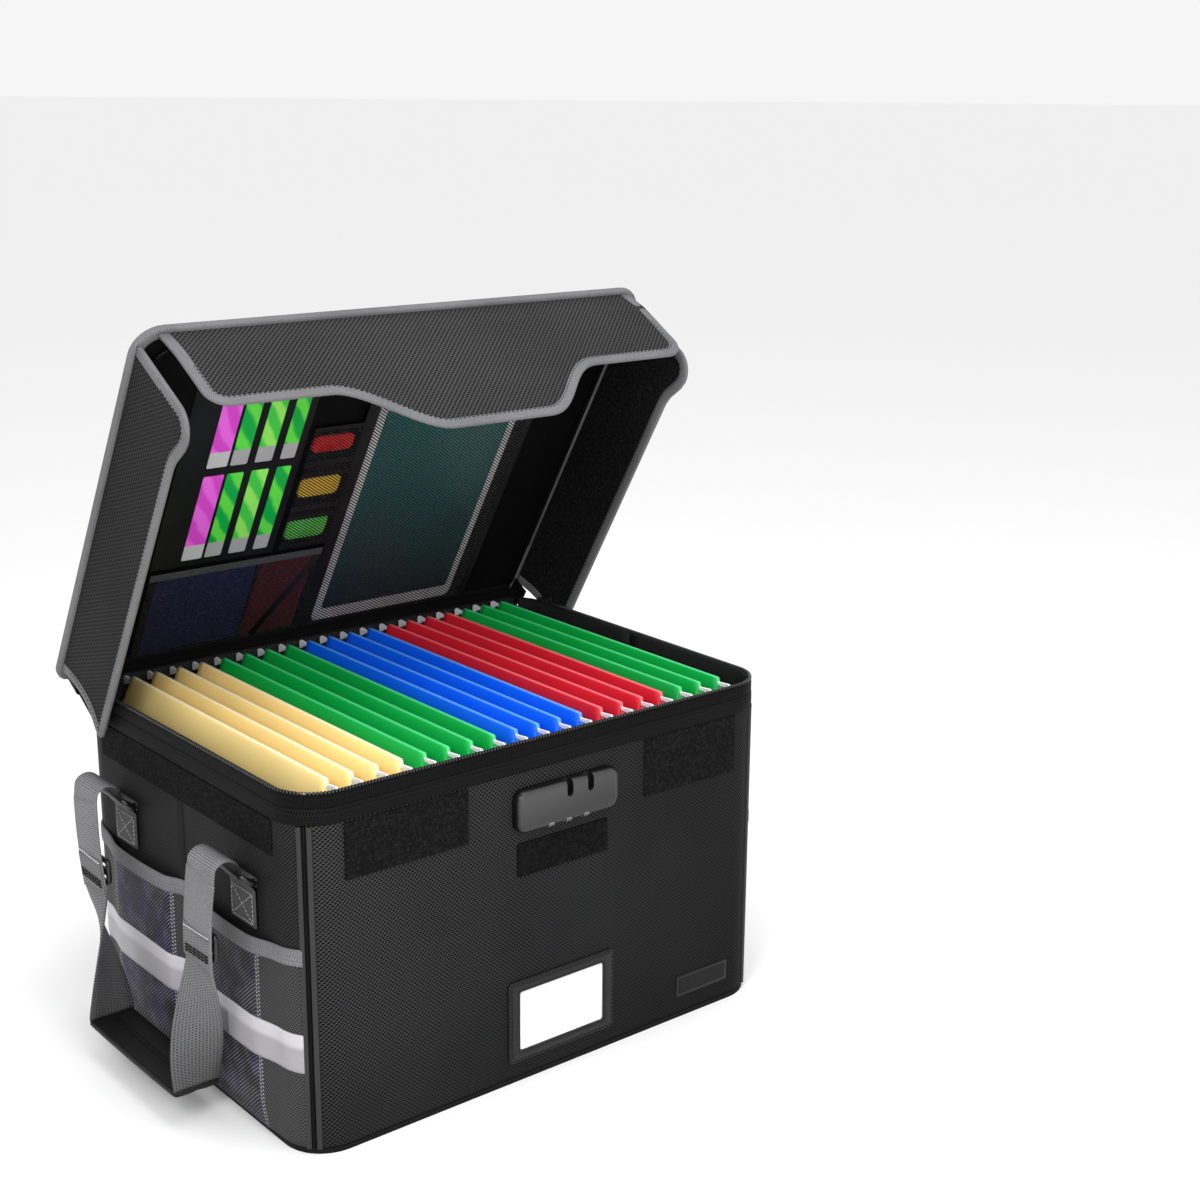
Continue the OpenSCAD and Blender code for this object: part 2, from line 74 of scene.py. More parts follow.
# ---------------------------------------------------------------- material building blocks
class Mat:
    def __init__(self, name):
        self.m = bpy.data.materials.new(name)
        self.m.use_nodes = True
        self.t = self.m.node_tree
        self.t.nodes.clear()
        out = self.t.nodes.new("ShaderNodeOutputMaterial")
        self.b = self.t.nodes.new("ShaderNodeBsdfPrincipled")
        self.t.links.new(self.b.outputs[0], out.inputs[0])

    def put(self, sock, v):
        if isinstance(v, (int, float)):
            sock.default_value = v
        elif isinstance(v, (tuple, list)):
            v = tuple(v)
            if len(v) == 3 and sock.type == "RGBA":
                v = v + (1.0,)
            sock.default_value = v
        else:
            self.t.links.new(v, sock)

    def set(self, **kw):
        names = {"color": "Base Color", "rough": "Roughness", "metal": "Metallic", "normal": "Normal", "spec": "Specular IOR Level", "sheen": "Sheen Weight",
                 "sheen_rough": "Sheen Roughness", "sheen_tint": "Sheen Tint", "coat": "Coat Weight", "coat_rough": "Coat Roughness", "alpha": "Alpha", "trans": "Transmission Weight", "ior": "IOR"}
        for k, v in kw.items():
            self.put(self.b.inputs[names[k]], v)
        return self

    def math(self, op, a, b=None, c=None):
        n = self.t.nodes.new("ShaderNodeMath")
        n.operation = op
        for i, v in enumerate((a, b, c)):
            if v is not None:
                self.put(n.inputs[i], v)
        return n.outputs[0]

    def add(self, a, b): return self.math("ADD", a, b)
    def sub(self, a, b): return self.math("SUBTRACT", a, b)
    def mul(self, a, b): return self.math("MULTIPLY", a, b)
    def cos(self, a): return self.math("COSINE", a)
    def sin(self, a): return self.math("SINE", a)

    def coords(self, src="uv"):
        """Two coordinates in millimetres along the cloth."""
        tc = self.t.nodes.new("ShaderNodeTexCoord")
        sep = self.t.nodes.new("ShaderNodeSeparateXYZ")
        if src == "uv":
            self.t.links.new(tc.outputs["UV"], sep.inputs[0])
            return self.mul(sep.outputs[0], 1000.0), self.mul(sep.outputs[1], 1000.0)
        self.t.links.new(tc.outputs["Object"], sep.inputs[0])
        ax = {"x": 0, "y": 1, "z": 2}
        return self.mul(sep.outputs[ax[src[0]]], 1000.0), self.mul(sep.outputs[ax[src[1]]], 1000.0)

    def pos(self):
        return self.t.nodes.new("ShaderNodeTexCoord").outputs["Object"]

    def noise(self, scale, detail=2.0, vec=None, rough=0.5):
        n = self.t.nodes.new("ShaderNodeTexNoise")
        n.inputs["Scale"].default_value = scale
        n.inputs["Detail"].default_value = detail
        n.inputs["Roughness"].default_value = rough
        self.t.links.new(vec if vec is not None else self.pos(), n.inputs["Vector"])
        return n.outputs["Fac"]

    def range(self, v, a, b, c=0.0, d=1.0, smooth=True):
        n = self.t.nodes.new("ShaderNodeMapRange")
        n.interpolation_type = "SMOOTHSTEP" if smooth else "LINEAR"
        self.put(n.inputs["Value"], v)
        n.inputs["From Min"].default_value, n.inputs["From Max"].default_value = a, b
        n.inputs["To Min"].default_value, n.inputs["To Max"].default_value = c, d
        return n.outputs["Result"]

    def mix(self, f, a, b):
        n = self.t.nodes.new("ShaderNodeMix")
        n.data_type = "RGBA"
        self.put(n.inputs[0], f)
        self.put(n.inputs[6], a)
        self.put(n.inputs[7], b)
        return n.outputs[2]

    def scale(self, col, f):
        n = self.t.nodes.new("ShaderNodeMix")
        n.data_type = "RGBA"
        n.blend_type = "MULTIPLY"
        n.inputs[0].default_value = 1.0
        self.put(n.inputs[6], col)
        g = self.t.nodes.new("ShaderNodeCombineColor")
        for i in range(3):
            self.put(g.inputs[i], f)
        self.t.links.new(g.outputs[0], n.inputs[7])
        return n.outputs[2]

    def bump(self, h, dist, strength=1.0, normal=None):
        n = self.t.nodes.new("ShaderNodeBump")
        n.inputs["Strength"].default_value = strength
        n.inputs["Distance"].default_value = dist * S
        self.put(n.inputs["Height"], h)
        if normal is not None:
            self.t.links.new(normal, n.inputs["Normal"])
        return n.outputs[0]


def g(v, k=1.0):
    """A neutral grey with a slight cool cast."""
    return (v, v, v * (1.0 + 0.03 * k))


def cloth(name, dark, light, cw=3.6, ch=1.6, rough=0.62, depth=0.35, src="uv", sheen=0.0, spec=0.06, wob=0.25, painted_light_falloff=False, lo=-0.35, hi=0.95, slant=1.0):
    """Woven cloth with a staggered grid of small holes, each drawn out along a slant."""
    m = Mat(name)
    u, v = m.coords(src)
    n = m.noise(260.0, 3.0)
    u = m.add(u, m.mul(n, 0.5))
    a = m.mul(u, 2 * math.pi / cw)
    b = m.mul(v, math.pi / ch)
    h = m.add(m.add(m.mul(m.cos(m.add(a, b)), 1.0 - 0.35 * slant), m.mul(m.cos(m.sub(a, b)), 1.0 + 0.35 * slant)), m.mul(m.cos(m.mul(b, 2.0)), 0.8))
    hole = m.range(h, lo, hi)
    big = m.noise(9.0, 3.0)
    fine = m.noise(1500.0, 2.0)
    tone = m.add(m.range(big, 0.3, 0.7, 1.0 - wob / 2, 1.0 + wob / 2), m.range(fine, 0.2, 0.8, -0.12, 0.12))
    # painted light: the cloth is brighter at the upper left and darker towards the lower right
    if painted_light_falloff:
        px, pz = m.coords("xz")
        tone = m.mul(tone, m.range(m.sub(px, pz), -420.0, 210.0, 1.3, 0.42, False))
    col = m.scale(m.mix(hole, light, dark), tone)
    soft = m.bump(m.noise(14.0, 2.0), 2.6, 0.35)
    nrm = m.bump(m.sub(1.0, hole), depth, 0.85, soft)
    m.set(color=col, rough=rough, spec=spec, normal=nrm)
    if sheen:
        m.set(sheen=sheen, sheen_rough=0.5)
    return m.m


def velcro(name, dark, light, src="uv"):
    m = Mat(name)
    u, v = m.coords(src)
    n = m.noise(900.0, 4.0, rough=0.7)
    k = m.add(m.sin(m.mul(u, 2 * math.pi / 1.5)), m.sin(m.mul(v, 2 * math.pi / 1.3)))
    f = m.add(m.mul(m.range(n, 0.35, 0.65), 0.7), m.mul(m.range(k, -1.0, 1.6), 0.3))
    spots = m.range(m.noise(420.0, 2.0), 0.44, 0.62, 0.55, 1.35)
    m.set(color=m.scale(m.mix(f, dark, light), spots), rough=0.9, spec=0.08, normal=m.bump(f, 0.5, 0.9))
    return m.m


def binding(name, dark, light, width=11.0, pitch=1.7, src="uv"):
    """Woven tape with a herringbone of slanting threads."""
    m = Mat(name)
    u, v = m.coords(src)
    fold = m.math("PINGPONG", v, width / 4)
    ph = m.mul(m.add(u, m.mul(fold, 0.9)), 2 * math.pi / pitch)
    rib = m.range(m.sin(ph), -0.9, 0.9)
    cross = m.range(m.sin(m.mul(v, 2 * math.pi / 0.9)), -1.0, 1.0)
    f = m.add(m.mul(rib, 0.75), m.mul(cross, 0.25))
    n = m.noise(700.0, 3.0)
    f = m.add(f, m.range(n, 0.3, 0.7, -0.2, 0.2))
    big = m.range(m.noise(16.0, 2.0), 0.3, 0.7, 0.9, 1.1)
    m.set(color=m.scale(m.mix(f, dark, light), big), rough=0.7, spec=0.2, normal=m.bump(f, 0.12, 0.7))
    return m.m


def webbing(name, dark, light, style="rib", pitch=1.7, width=38.0, shade=None, fade=None, spec=0.22):
    """Webbing: u runs along it, v across it."""
    m = Mat(name)
    u, v = m.coords()
    if style == "rib":
        a = m.range(m.sin(m.mul(u, 2 * math.pi / pitch)), -0.9, 0.8)
        b = m.range(m.sin(m.mul(v, 2 * math.pi / 1.1)), -1.0, 1.0)
        f = m.add(m.mul(a, 0.7), m.mul(b, 0.3))
    else:
        b = m.sin(m.mul(v, 2 * math.pi / 2.5))
        row = m.math("FLOOR", m.mul(v, 1 / 2.5))
        a = m.sin(m.add(m.mul(u, 2 * math.pi / 2.2), m.mul(row, math.pi)))
        f = m.sub(1.0, m.mul(m.range(a, -0.5, 0.7), m.range(b, -0.5, 0.6)))
    n = m.noise(650.0, 3.0)
    f = m.add(f, m.range(n, 0.3, 0.7, -0.12, 0.12))
    big = m.range(m.noise(13.0, 2.0), 0.3, 0.7, 0.9, 1.1)
    if shade:
        # painted shade: the webbing darkens almost to black over its first stretch, towards the ring
        big = m.mul(big, m.range(u, shade[0], shade[1], 0.05, 1.0))
    if fade:
        # painted shade: the webbing grows darker along its length, towards its lower end
        big = m.mul(big, m.range(u, fade[0], fade[1], 1.0, fade[2]))
    m.set(color=m.scale(m.mix(f, dark, light), big), rough=0.55, spec=spec, normal=m.bump(f, 0.3, 0.8))
    return m.m


def netting(name, dark, light, pitch=3.1, slant=0.55, glow=None):
    """Open mesh: slanting rows of light threads over a dark ground."""
    m = Mat(name)
    u, v = m.coords()
    ph = m.mul(m.add(v, m.mul(u, slant)), 2 * math.pi / pitch)
    row = m.range(m.sin(ph), -0.15, 0.85)
    dots = m.range(m.sin(m.mul(m.sub(u, m.mul(v, 0.35)), 2 * math.pi / (pitch * 0.62))), -0.8, 0.6)
    f = m.mul(row, m.add(0.45, m.mul(dots, 0.55)))
    big = m.noise(17.0, 2.0)
    ground = m.mix(m.range(big, 0.35, 0.7), dark, glow or dark)
    spark = m.range(m.noise(60.0, 1.0), 0.35, 0.75, 0.45, 1.25)
    m.set(color=m.mix(m.mul(f, spark), ground, light), rough=0.6, spec=0.35, normal=m.bump(f, 0.35, 0.9))
    return m.m


def screen(name, dark, light, pitch=2.6, cover=0.5, slope=0.735, cross=0.35):
    """See-through mesh in front of something: slanting threads are opaque and the gaps are clear."""
    m = Mat(name)
    u, v = m.coords()
    q = m.add(v, m.mul(u, slope))
    w = m.sub(v, m.mul(u, 1.1))
    a = m.math("ABSOLUTE", m.sin(m.mul(q, math.pi / pitch)))
    b = m.math("ABSOLUTE", m.sin(m.mul(w, math.pi / (pitch * 1.2))))
    k = math.sin(math.pi / 2 * cover)
    line = m.math("MAXIMUM", m.range(a, k - 0.14, k + 0.14, 0.95, 0.04), m.range(b, 0.15, 0.4, cross, 0.0))
    m.set(color=m.mix(m.range(m.noise(500.0), 0.3, 0.7), dark, light), rough=0.6, alpha=line, spec=0.2)
    return m.m


def plain(name, col, rough=0.5, metal=0.0, grain=400.0, depth=0.05, spec=0.5, coat=0.0, vary=0.12, rvary=0.1):
    m = Mat(name)
    n = m.noise(grain, 3.0)
    big = m.noise(22.0, 3.0)
    tone = m.range(big, 0.3, 0.7, 1 - vary, 1 + vary)
    rr = m.range(m.noise(45.0, 4.0), 0.3, 0.7, rough - rvary / 2, rough + rvary / 2)
    m.set(color=m.scale(col, tone), rough=rr, metal=metal, spec=spec, normal=m.bump(n, depth, 0.6))
    if coat:
        m.set(coat=coat, coat_rough=0.15)
    return m.m


def paper(name, col, top=None):
    """Card stock: faint fibres, a painted highlight along the fold and painted shade down the face away from it."""
    m = Mat(name)
    u, v = m.coords()
    fib = m.noise(900.0, 4.0, rough=0.7)
    big = m.range(m.noise(7.0, 2.0), 0.3, 0.7, 0.93, 1.06)
    base = m.scale(col, big)
    # painted highlight: a light line along the fold at the folder's ridge
    edge = m.range(v, 0.9, 1.7, 1.0, 0.0)
    # painted shade: the face darkens going down from the ridge
    c = m.mix(m.mul(edge, 0.75), m.scale(base, m.range(v, 2.0, 30.0, 1.0, 0.84)), top or tuple(min(1.0, x * 1.25 + 0.05) for x in col))
    m.set(color=m.scale(c, m.range(fib, 0.2, 0.8, 0.95, 1.05)), rough=0.5, spec=0.35, normal=m.bump(fib, 0.04, 0.5))
    return m.m


# ---------------------------------------------------------------- mesh building blocks
def finish_mesh(name, V, faces, uvl=None, mat=None, smooth=True):
    me = bpy.data.meshes.new(name)
    me.from_pydata([tuple(v) for v in (np.asarray(V) * S)], [], faces)
    if uvl is not None:
        l = me.uv_layers.new(name="UVMap")
        l.data.foreach_set("uv", (np.asarray(uvl) * S).ravel())
    me.polygons.foreach_set("use_smooth", [smooth] * len(me.polygons))
    me.validate()
    me.update()
    ob = bpy.data.objects.new(name, me)
    bpy.context.scene.collection.objects.link(ob)
    if mat is not None:
        me.materials.append(mat)
    return ob


def grid(name, P, U, mat, wu=False, wv=False, caps=False, smooth=True):
    """A sheet or tube of quads. U holds one more row or column than P where the surface closes on itself."""
    P = np.asarray(P, float)
    U = np.asarray(U, float)
    n, m = P.shape[:2]
    ni, mj = (n if wu else n - 1), (m if wv else m - 1)
    I, J = np.meshgrid(np.arange(ni), np.arange(mj), indexing="ij")
    I2, J2 = I + 1, J + 1
    F = np.stack([I * m + J, (I2 % n) * m + J, (I2 % n) * m + (J2 % m), I * m + (J2 % m)], -1).reshape(-1, 4)
    uvl = np.stack([U[I, J], U[I2, J], U[I2, J2], U[I, J2]], 2).reshape(-1, 2)
    faces = F.tolist()
    if caps:
        faces.append(list(range(m)))
        faces.append([(n - 1) * m + j for j in range(m)][::-1])
        uvl = np.concatenate([uvl, U[0, :m], U[-1, :m][::-1]])
    return finish_mesh(name, P.reshape(-1, 3), faces, uvl, mat, smooth)


def lengths(P, closed=False):
    Q = np.concatenate([P, P[:1]]) if closed else P
    d = np.linalg.norm(np.diff(Q, axis=0), axis=1)
    return np.concatenate([[0], np.cumsum(d)])


def sweep(name, path, N, sec, mat, closed=False, caps=True, smooth=True, sec_open=False):
    """Sweeps a section along a path. N is the normal of the sheet the path lies on; section places are (sideways, along N)."""
    path, N, sec = np.asarray(path, float), np.asarray(N, float), np.asarray(sec, float)
    if N.ndim == 1:
        N = np.repeat(N[None], len(path), 0)
    if closed:
        t = np.roll(path, -1, 0) - np.roll(path, 1, 0)
    else:
        t = np.gradient(path, axis=0)
    t /= np.linalg.norm(t, axis=1)[:, None]
    B = np.cross(t, N)
    B /= np.linalg.norm(B, axis=1)[:, None]
    P = path[:, None] + B[:, None] * sec[None, :, :1] + N[:, None] * sec[None, :, 1:]
    u = lengths(path, closed)
    v = lengths(sec, not sec_open)
    U = np.stack(np.meshgrid(u, v, indexing="ij"), -1)
    return grid(name, P, U, mat, wu=closed, wv=not sec_open, caps=caps and not closed and not sec_open, smooth=smooth)


def oval(a, b, n=16, p=2.6):
    """A flattened round section."""
    t = np.linspace(0, 2 * np.pi, n, endpoint=False)
    c, s = np.cos(t), np.sin(t)
    return np.stack([a * np.sign(c) * abs(c) ** (2 / p), b * np.sign(s) * abs(s) ** (2 / p)], -1)


def roundrect(w, h, r, n=5):
    pts = []
    for cx, cy, a0 in ((w / 2 - r, h / 2 - r, 0), (-w / 2 + r, h / 2 - r, 90), (-w / 2 + r, -h / 2 + r, 180), (w / 2 - r, -h / 2 + r, 270)):
        for i in range(n + 1):
            a = math.radians(a0 + 90 * i / n)
            pts.append((cx + r * math.cos(a), cy + r * math.sin(a)))
    return np.array(pts)


def plate(name, pts, org, au, av, an, t, mat, bevel=0.4, segs=3, holes=(), smooth=True):
    """A flat plate of an outline, rising from org along an, with its outer edge rounded over."""
    org, au, av, an = (np.asarray(a, float) for a in (org, au, av, an))
    bm = bmesh.new()
    uvl = bm.loops.layers.uv.new("UVMap")

    def ring(q, h):
        return [bm.verts.new(tuple((org + au * p[0] + av * p[1] + an * h) * S)) for p in q]

    loops = [np.asarray(pts)] + [np.asarray(h) for h in holes]
    tops = []
    for k, q in enumerate(loops):
        c = q.mean(0)
        lo = ring(q, 0)
        hi = []
        prev = lo
        for i in range(segs + 1):
            a = math.pi / 2 * i / segs
            off = bevel * (1 - math.cos(a)) * (1 if k == 0 else -1)
            dd = q - c
            e = np.roll(q, -1, 0) - np.roll(q, 1, 0)
            nn = np.stack([e[:, 1], -e[:, 0]], -1)
            nn /= np.linalg.norm(nn, axis=1)[:, None]
            if (nn * dd).sum() < 0:
                nn = -nn
            cur = ring(q - nn * off, t - bevel + bevel * math.sin(a))
            for j in range(len(q)):
                bm.faces.new((prev[j], prev[(j + 1) % len(q)], cur[(j + 1) % len(q)], cur[j]))
            prev = cur
        tops.append((lo, prev))
    for side in (0, 1):
        vs = [v for tp in tops for v in tp[side]]
        if len(tops) == 1:
            bm.faces.new(vs)
        else:
            edges = []
            for tp in tops:
                r = tp[side]
                for j in range(len(r)):
                    e = bm.edges.get((r[j], r[(j + 1) % len(r)]))
                    edges.append(e)
            bmesh.ops.triangle_fill(bm, use_beauty=True, edges=edges)
    bmesh.ops.recalc_face_normals(bm, faces=bm.faces)
    for f in bm.faces:
        for l in f.loops:
            p = np.array(l.vert.co) / S - org
            l[uvl].uv = (p @ au * S, p @ av * S)
    me = bpy.data.meshes.new(name)
    bm.to_mesh(me)
    bm.free()
    me.polygons.foreach_set("use_smooth", [smooth] * len(me.polygons))
    ob = bpy.data.objects.new(name, me)
    bpy.context.scene.collection.objects.link(ob)
    me.materials.append(mat)
    if smooth:
        sharp_by_angle(ob)
    return ob


def sharp_by_angle(ob, deg=35):
    me = ob.data
    bm = bmesh.new()
    bm.from_mesh(me)
    for e in bm.edges:
        if len(e.link_faces) == 2:
            e.smooth = e.calc_face_angle(0) < math.radians(deg)
    bm.to_mesh(me)
    bm.free()


def copy_bevel(node, name, mat, width=0.5, segs=3, deg=30):
    """The node's own shape with its edges softened."""
    src = NODES[node]
    me = src.data.copy()
    me.name = name
    bm = bmesh.new()
    bm.from_mesh(me)
    bm.transform(src.matrix_world)
    bmesh.ops.remove_doubles(bm, verts=bm.verts, dist=1e-6)
    bmesh.ops.dissolve_limit(bm, angle_limit=math.radians(2.0), verts=bm.verts, edges=bm.edges)
    bm.to_mesh(me)
    bm.free()
    me.materials.clear()
    me.materials.append(mat)
    ob = bpy.data.objects.new(name, me)
    bpy.context.scene.collection.objects.link(ob)
    md = ob.modifiers.new("soften", "BEVEL")
    md.width = width * S
    md.segments = segs
    md.limit_method = "ANGLE"
    md.angle_limit = math.radians(deg)
    md.harden_normals = True
    me.polygons.foreach_set("use_smooth", [True] * len(me.polygons))
    bake(ob)
    return ob


def bake(ob):
    """Applies an object's modifiers to its mesh."""
    dg = bpy.context.evaluated_depsgraph_get()
    new = bpy.data.meshes.new_from_object(ob.evaluated_get(dg))
    old = ob.data
    ob.modifiers.clear()
    ob.data = new
    new.name = old.name + "_m"
    bpy.data.meshes.remove(old)


def merge(obs, name):
    """Joins pieces into one, keeping each piece's material."""
    mats, V, F, UV, MI, SM = [], [], [], [], [], []
    base = 0
    for o in obs:
        me = o.data
        co = np.empty(len(me.vertices) * 3)
        me.vertices.foreach_get("co", co)
        V.append(co.reshape(-1, 3))
        li = np.empty(len(me.loops), int)
        me.loops.foreach_get("vertex_index", li)
        uv = np.zeros(len(me.loops) * 2)
        if me.uv_layers:
            me.uv_layers[0].data.foreach_get("uv", uv)
        UV.append(uv.reshape(-1, 2))
        mt = me.materials[0]
        if mt not in mats:
            mats.append(mt)
        for p in me.polygons:
            F.append([li[k] + base for k in range(p.loop_start, p.loop_start + p.loop_total)])
            MI.append(mats.index(mt))
            SM.append(p.use_smooth)
        base += len(me.vertices)
        bpy.data.objects.remove(o)
        bpy.data.meshes.remove(me)
    me = bpy.data.meshes.new(name)
    me.from_pydata([tuple(v) for v in np.concatenate(V)], [], [[int(i) for i in f] for f in F])
    l = me.uv_layers.new(name="UVMap")
    l.data.foreach_set("uv", np.concatenate(UV).ravel())
    me.polygons.foreach_set("use_smooth", SM)
    me.polygons.foreach_set("material_index", MI)
    for mt in mats:
        me.materials.append(mt)
    me.update()
    ob = bpy.data.objects.new(name, me)
    bpy.context.scene.collection.objects.link(ob)
    return ob


def stitches(name, path, N, mat, length=2.6, gap=1.3, r=0.38, lift=0.1):
    """A line of thread stitches along a path."""
    path, N = np.asarray(path, float), np.asarray(N, float)
    if N.ndim == 1:
        N = np.repeat(N[None], len(path), 0)
    s = lengths(path)
    V, F, UV = [], [], []
    a = gap / 2
    sec = oval(r, r * 0.8, 6, 2.0)
    while a + length <= s[-1]:
        ts = np.array([a, a + length * 0.15, a + length * 0.5, a + length * 0.85, a + length])
        c = np.stack([np.interp(ts, s, path[:, i]) for i in range(3)], -1)
        nn = np.stack([np.interp(ts, s, N[:, i]) for i in range(3)], -1)
        nn /= np.linalg.norm(nn, axis=1)[:, None]
        t = np.gradient(c, axis=0)
        t /= np.linalg.norm(t, axis=1)[:, None]
        b = np.cross(t, nn)
        lifts = np.array([-r, 0.3 * r, 0.7 * r, 0.3 * r, -r]) + lift
        k = np.array([0.5, 1, 1, 1, 0.5])
        base = len(V)
        for i in range(5):
            for q in sec:
                V.append(c[i] + b[i] * q[0] * k[i] + nn[i] * (q[1] * k[i] + lifts[i]))
        m = len(sec)
        for i in range(4):
            for j in range(m):
                F.append([base + i * m + j, base + (i + 1) * m + j, base + (i + 1) * m + (j + 1) % m, base + i * m + (j + 1) % m])
                UV += [(ts[i], j), (ts[i + 1], j), (ts[i + 1], j + 1), (ts[i], j + 1)]
        a += length + gap
    if not V:
        return None
    return finish_mesh(name, np.array(V), F, np.array(UV), mat)


def put(ob, body, slot, *replaced):
    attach(ob, body)
    if replaced:
        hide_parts(*replaced)
    return ob


# ---------------------------------------------------------------- the box's outline, walked from the middle of the left side
A, ARC, FR = HD - R, R * math.pi / 2, 2 * (HW - R)
TOTAL = 2 * (A * 2) + 2 * FR + 4 * ARC


def along(s, off=0.0):
    """Place and outward direction at a distance along the outline."""
    s = np.asarray(s, float) % TOTAL
    x, y, nx, ny = (np.zeros_like(s) for _ in range(4))
    segs = [("l", A, (-HW, 0), (0, -1), (-1, 0)), ("a", ARC, (-(HW - R), -(HD - R)), 180), ("l", FR, (-(HW - R), -HD), (1, 0), (0, -1)), ("a", ARC, (HW - R, -(HD - R)), 270),
            ("l", 2 * A, (HW, -(HD - R)), (0, 1), (1, 0)), ("a", ARC, (HW - R, HD - R), 0), ("l", FR, (HW - R, HD), (-1, 0), (0, 1)), ("a", ARC, (-(HW - R), HD - R), 90),
            ("l", A, (-HW, HD - R), (0, -1), (-1, 0))]
    pos = 0.0
    for sg in segs:
        k = (s >= pos - 1e-9) & (s <= pos + sg[1] + 1e-9)
        t = s - pos
        if sg[0] == "l":
            x = np.where(k, sg[2][0] + sg[3][0] * t, x)
            y = np.where(k, sg[2][1] + sg[3][1] * t, y)
            nx = np.where(k, sg[4][0], nx)
            ny = np.where(k, sg[4][1], ny)
        else:
            a = np.radians(sg[3]) + t / R
            x = np.where(k, sg[2][0] + R * np.cos(a), x)
            y = np.where(k, sg[2][1] + R * np.sin(a), y)
            nx = np.where(k, np.cos(a), nx)
            ny = np.where(k, np.sin(a), ny)
        pos += sg[1]
    return np.stack([x + nx * off, y + ny * off, nx, ny], -1)


def samples(sa, sb, step=12.0):
    """Distances along the outline, closer together round the corners."""
    if sa < 0:
        return np.concatenate([samples(TOTAL + sa, TOTAL, step) - TOTAL, samples(0.0, sb, step)[1:]])
    edges = [0, A, A + ARC, A + ARC + FR, A + 2 * ARC + FR, 3 * A + 2 * ARC + FR, 3 * A + 3 * ARC + FR, 3 * A + 3 * ARC + 2 * FR, 3 * A + 4 * ARC + 2 * FR, TOTAL]
    out = [sa]
    for a, b, arc in zip(edges[:-1], edges[1:], [0, 1] * 4 + [0]):
        lo, hi = max(a, sa), min(b, sb)
        if hi - lo > 1e-6:
            n = max(1, int(math.ceil((hi - lo) / (3.2 if arc else step))))
            out += list(lo + (hi - lo) * np.arange(1, n + 1) / n)
    return np.array(out)


def band(name, sa, sb, sec, mat, step=12.0, caps=True, vary=None):
    """A wall, tape or strip that follows the outline. Section places are (outwards, up)."""
    s = samples(sa, sb, step)
    q = along(s)
    sec = np.asarray(sec, float)
    SEC = np.repeat(sec[None], len(s), 0)
    if vary is not None:
        SEC = vary(s, SEC)
    P = np.zeros(SEC.shape[:2] + (3,))
    P[..., 0] = q[:, None, 0] + q[:, None, 2] * SEC[..., 0]
    P[..., 1] = q[:, None, 1] + q[:, None, 3] * SEC[..., 0]
    P[..., 2] = SEC[..., 1]
    v = lengths(sec, True)
    U = np.stack(np.meshgrid(s, v, indexing="ij"), -1)
    return grid(name, P[:, ::-1], U[:, ::-1], mat, wv=True, caps=caps)


def wall_section(z0, z1, t, o=0.0, step=14.0, r=0.9):
    zs = np.linspace(z0 + r, z1 - r, max(2, int((z1 - z0) / step)))
    out = [(o - r, z0)] + [(o, z) for z in zs] + [(o - r, z1), (o - t + r, z1)] + [(o - t, z) for z in zs[::-1]] + [(o - t + r, z0)]
    return out


SEAM = [A + ARC / 2, A + ARC * 1.5 + FR, 3 * A + 2.5 * ARC + FR, 3 * A + 3.5 * ARC + 2 * FR]
CREASE_R = 2 * A + 2 * ARC + FR
GAP = 2.4

# ---------------------------------------------------------------- materials
M_CLOTH = cloth("box_cloth", g(0.0004), g(0.029), rough=0.55, painted_light_falloff=True, spec=0.03)
M_SIDE = cloth("side_cloth", g(0.0008), g(0.026), cw=3.0, ch=1.4, rough=0.55, depth=0.28, spec=0.04)
M_LIDIN = cloth("lining_cloth", g(0.0008), g(0.0045), cw=2.4, ch=0.9, rough=0.7, depth=0.2)
M_FLAP = cloth("flap_cloth", g(0.0006), g(0.046), cw=4.0, ch=1.9, rough=0.55, depth=0.3)
# painted shade: the side flaps take a darker copy of the flap cloth
M_FLAP_SHADED = cloth("side_flap_cloth_shaded", g(0.0005), g(0.03), cw=4.0, ch=1.9, rough=0.58, depth=0.3, spec=0.04)
M_FLAPIN = cloth("flap_inner_cloth", g(0.0008), g(0.0075), cw=2.8, ch=1.05, rough=0.65, depth=0.25)
M_VEL = velcro("hook_and_loop", g(0.0012), g(0.015))
M_VELD = velcro("tongue_hook_and_loop", g(0.0008), g(0.011))
M_FLAPV = velcro("flap_loop", g(0.0025), g(0.024))
M_VELS = velcro("side_hook_and_loop", g(0.001), g(0.015))
M_PIPE = plain("piping", g(0.012), 0.32, grain=900, depth=0.04, vary=0.2, spec=0.4)
M_CORD = plain("piping_core", g(0.001), 0.6, grain=900, depth=0.04, spec=0.1)
M_BIND = binding("grey_binding", g(0.1), g(0.185), pitch=1.8)
M_BIND2 = binding("grey_binding_narrow", g(0.1), g(0.19), width=14.0, pitch=1.8)
M_WEB1 = webbing("light_webbing", g(0.07), g(0.24))
M_WEBA = webbing("arch_webbing", g(0.07), g(0.24), shade=(6.0, 26.0))
M_WEB2 = webbing("grey_webbing", g(0.03), g(0.15), style="dots", fade=(25.0, 112.0, 0.55))
M_TAB = webbing("tab_webbing", g(0.03), g(0.1), pitch=1.4)
M_THREAD = plain("thread", g(0.5), 0.6, grain=1500, depth=0.05)
M_THREADG = plain("grey_thread", g(0.35), 0.6, grain=1500, depth=0.05)
M_THREADB = plain("black_thread", g(0.004), 0.6, grain=1500, depth=0.05, spec=0.1)
M_BLACK = plain("black_plastic", g(0.004), 0.28, grain=600, depth=0.03)
M_FRAME = plain("frame_plastic", g(0.006), 0.42, grain=500, depth=0.06, spec=0.3)
M_TAPE = webbing("zip_tape", g(0.0006), g(0.007), pitch=1.5, spec=0.05)
M_TAPE2 = cloth("zip_tape_fold", g(0.0008), g(0.0075), cw=2.0, ch=0.9, rough=0.6, depth=0.15)
M_COIL = plain("zip_coil", g(0.025), 0.25, grain=700, depth=0.02)
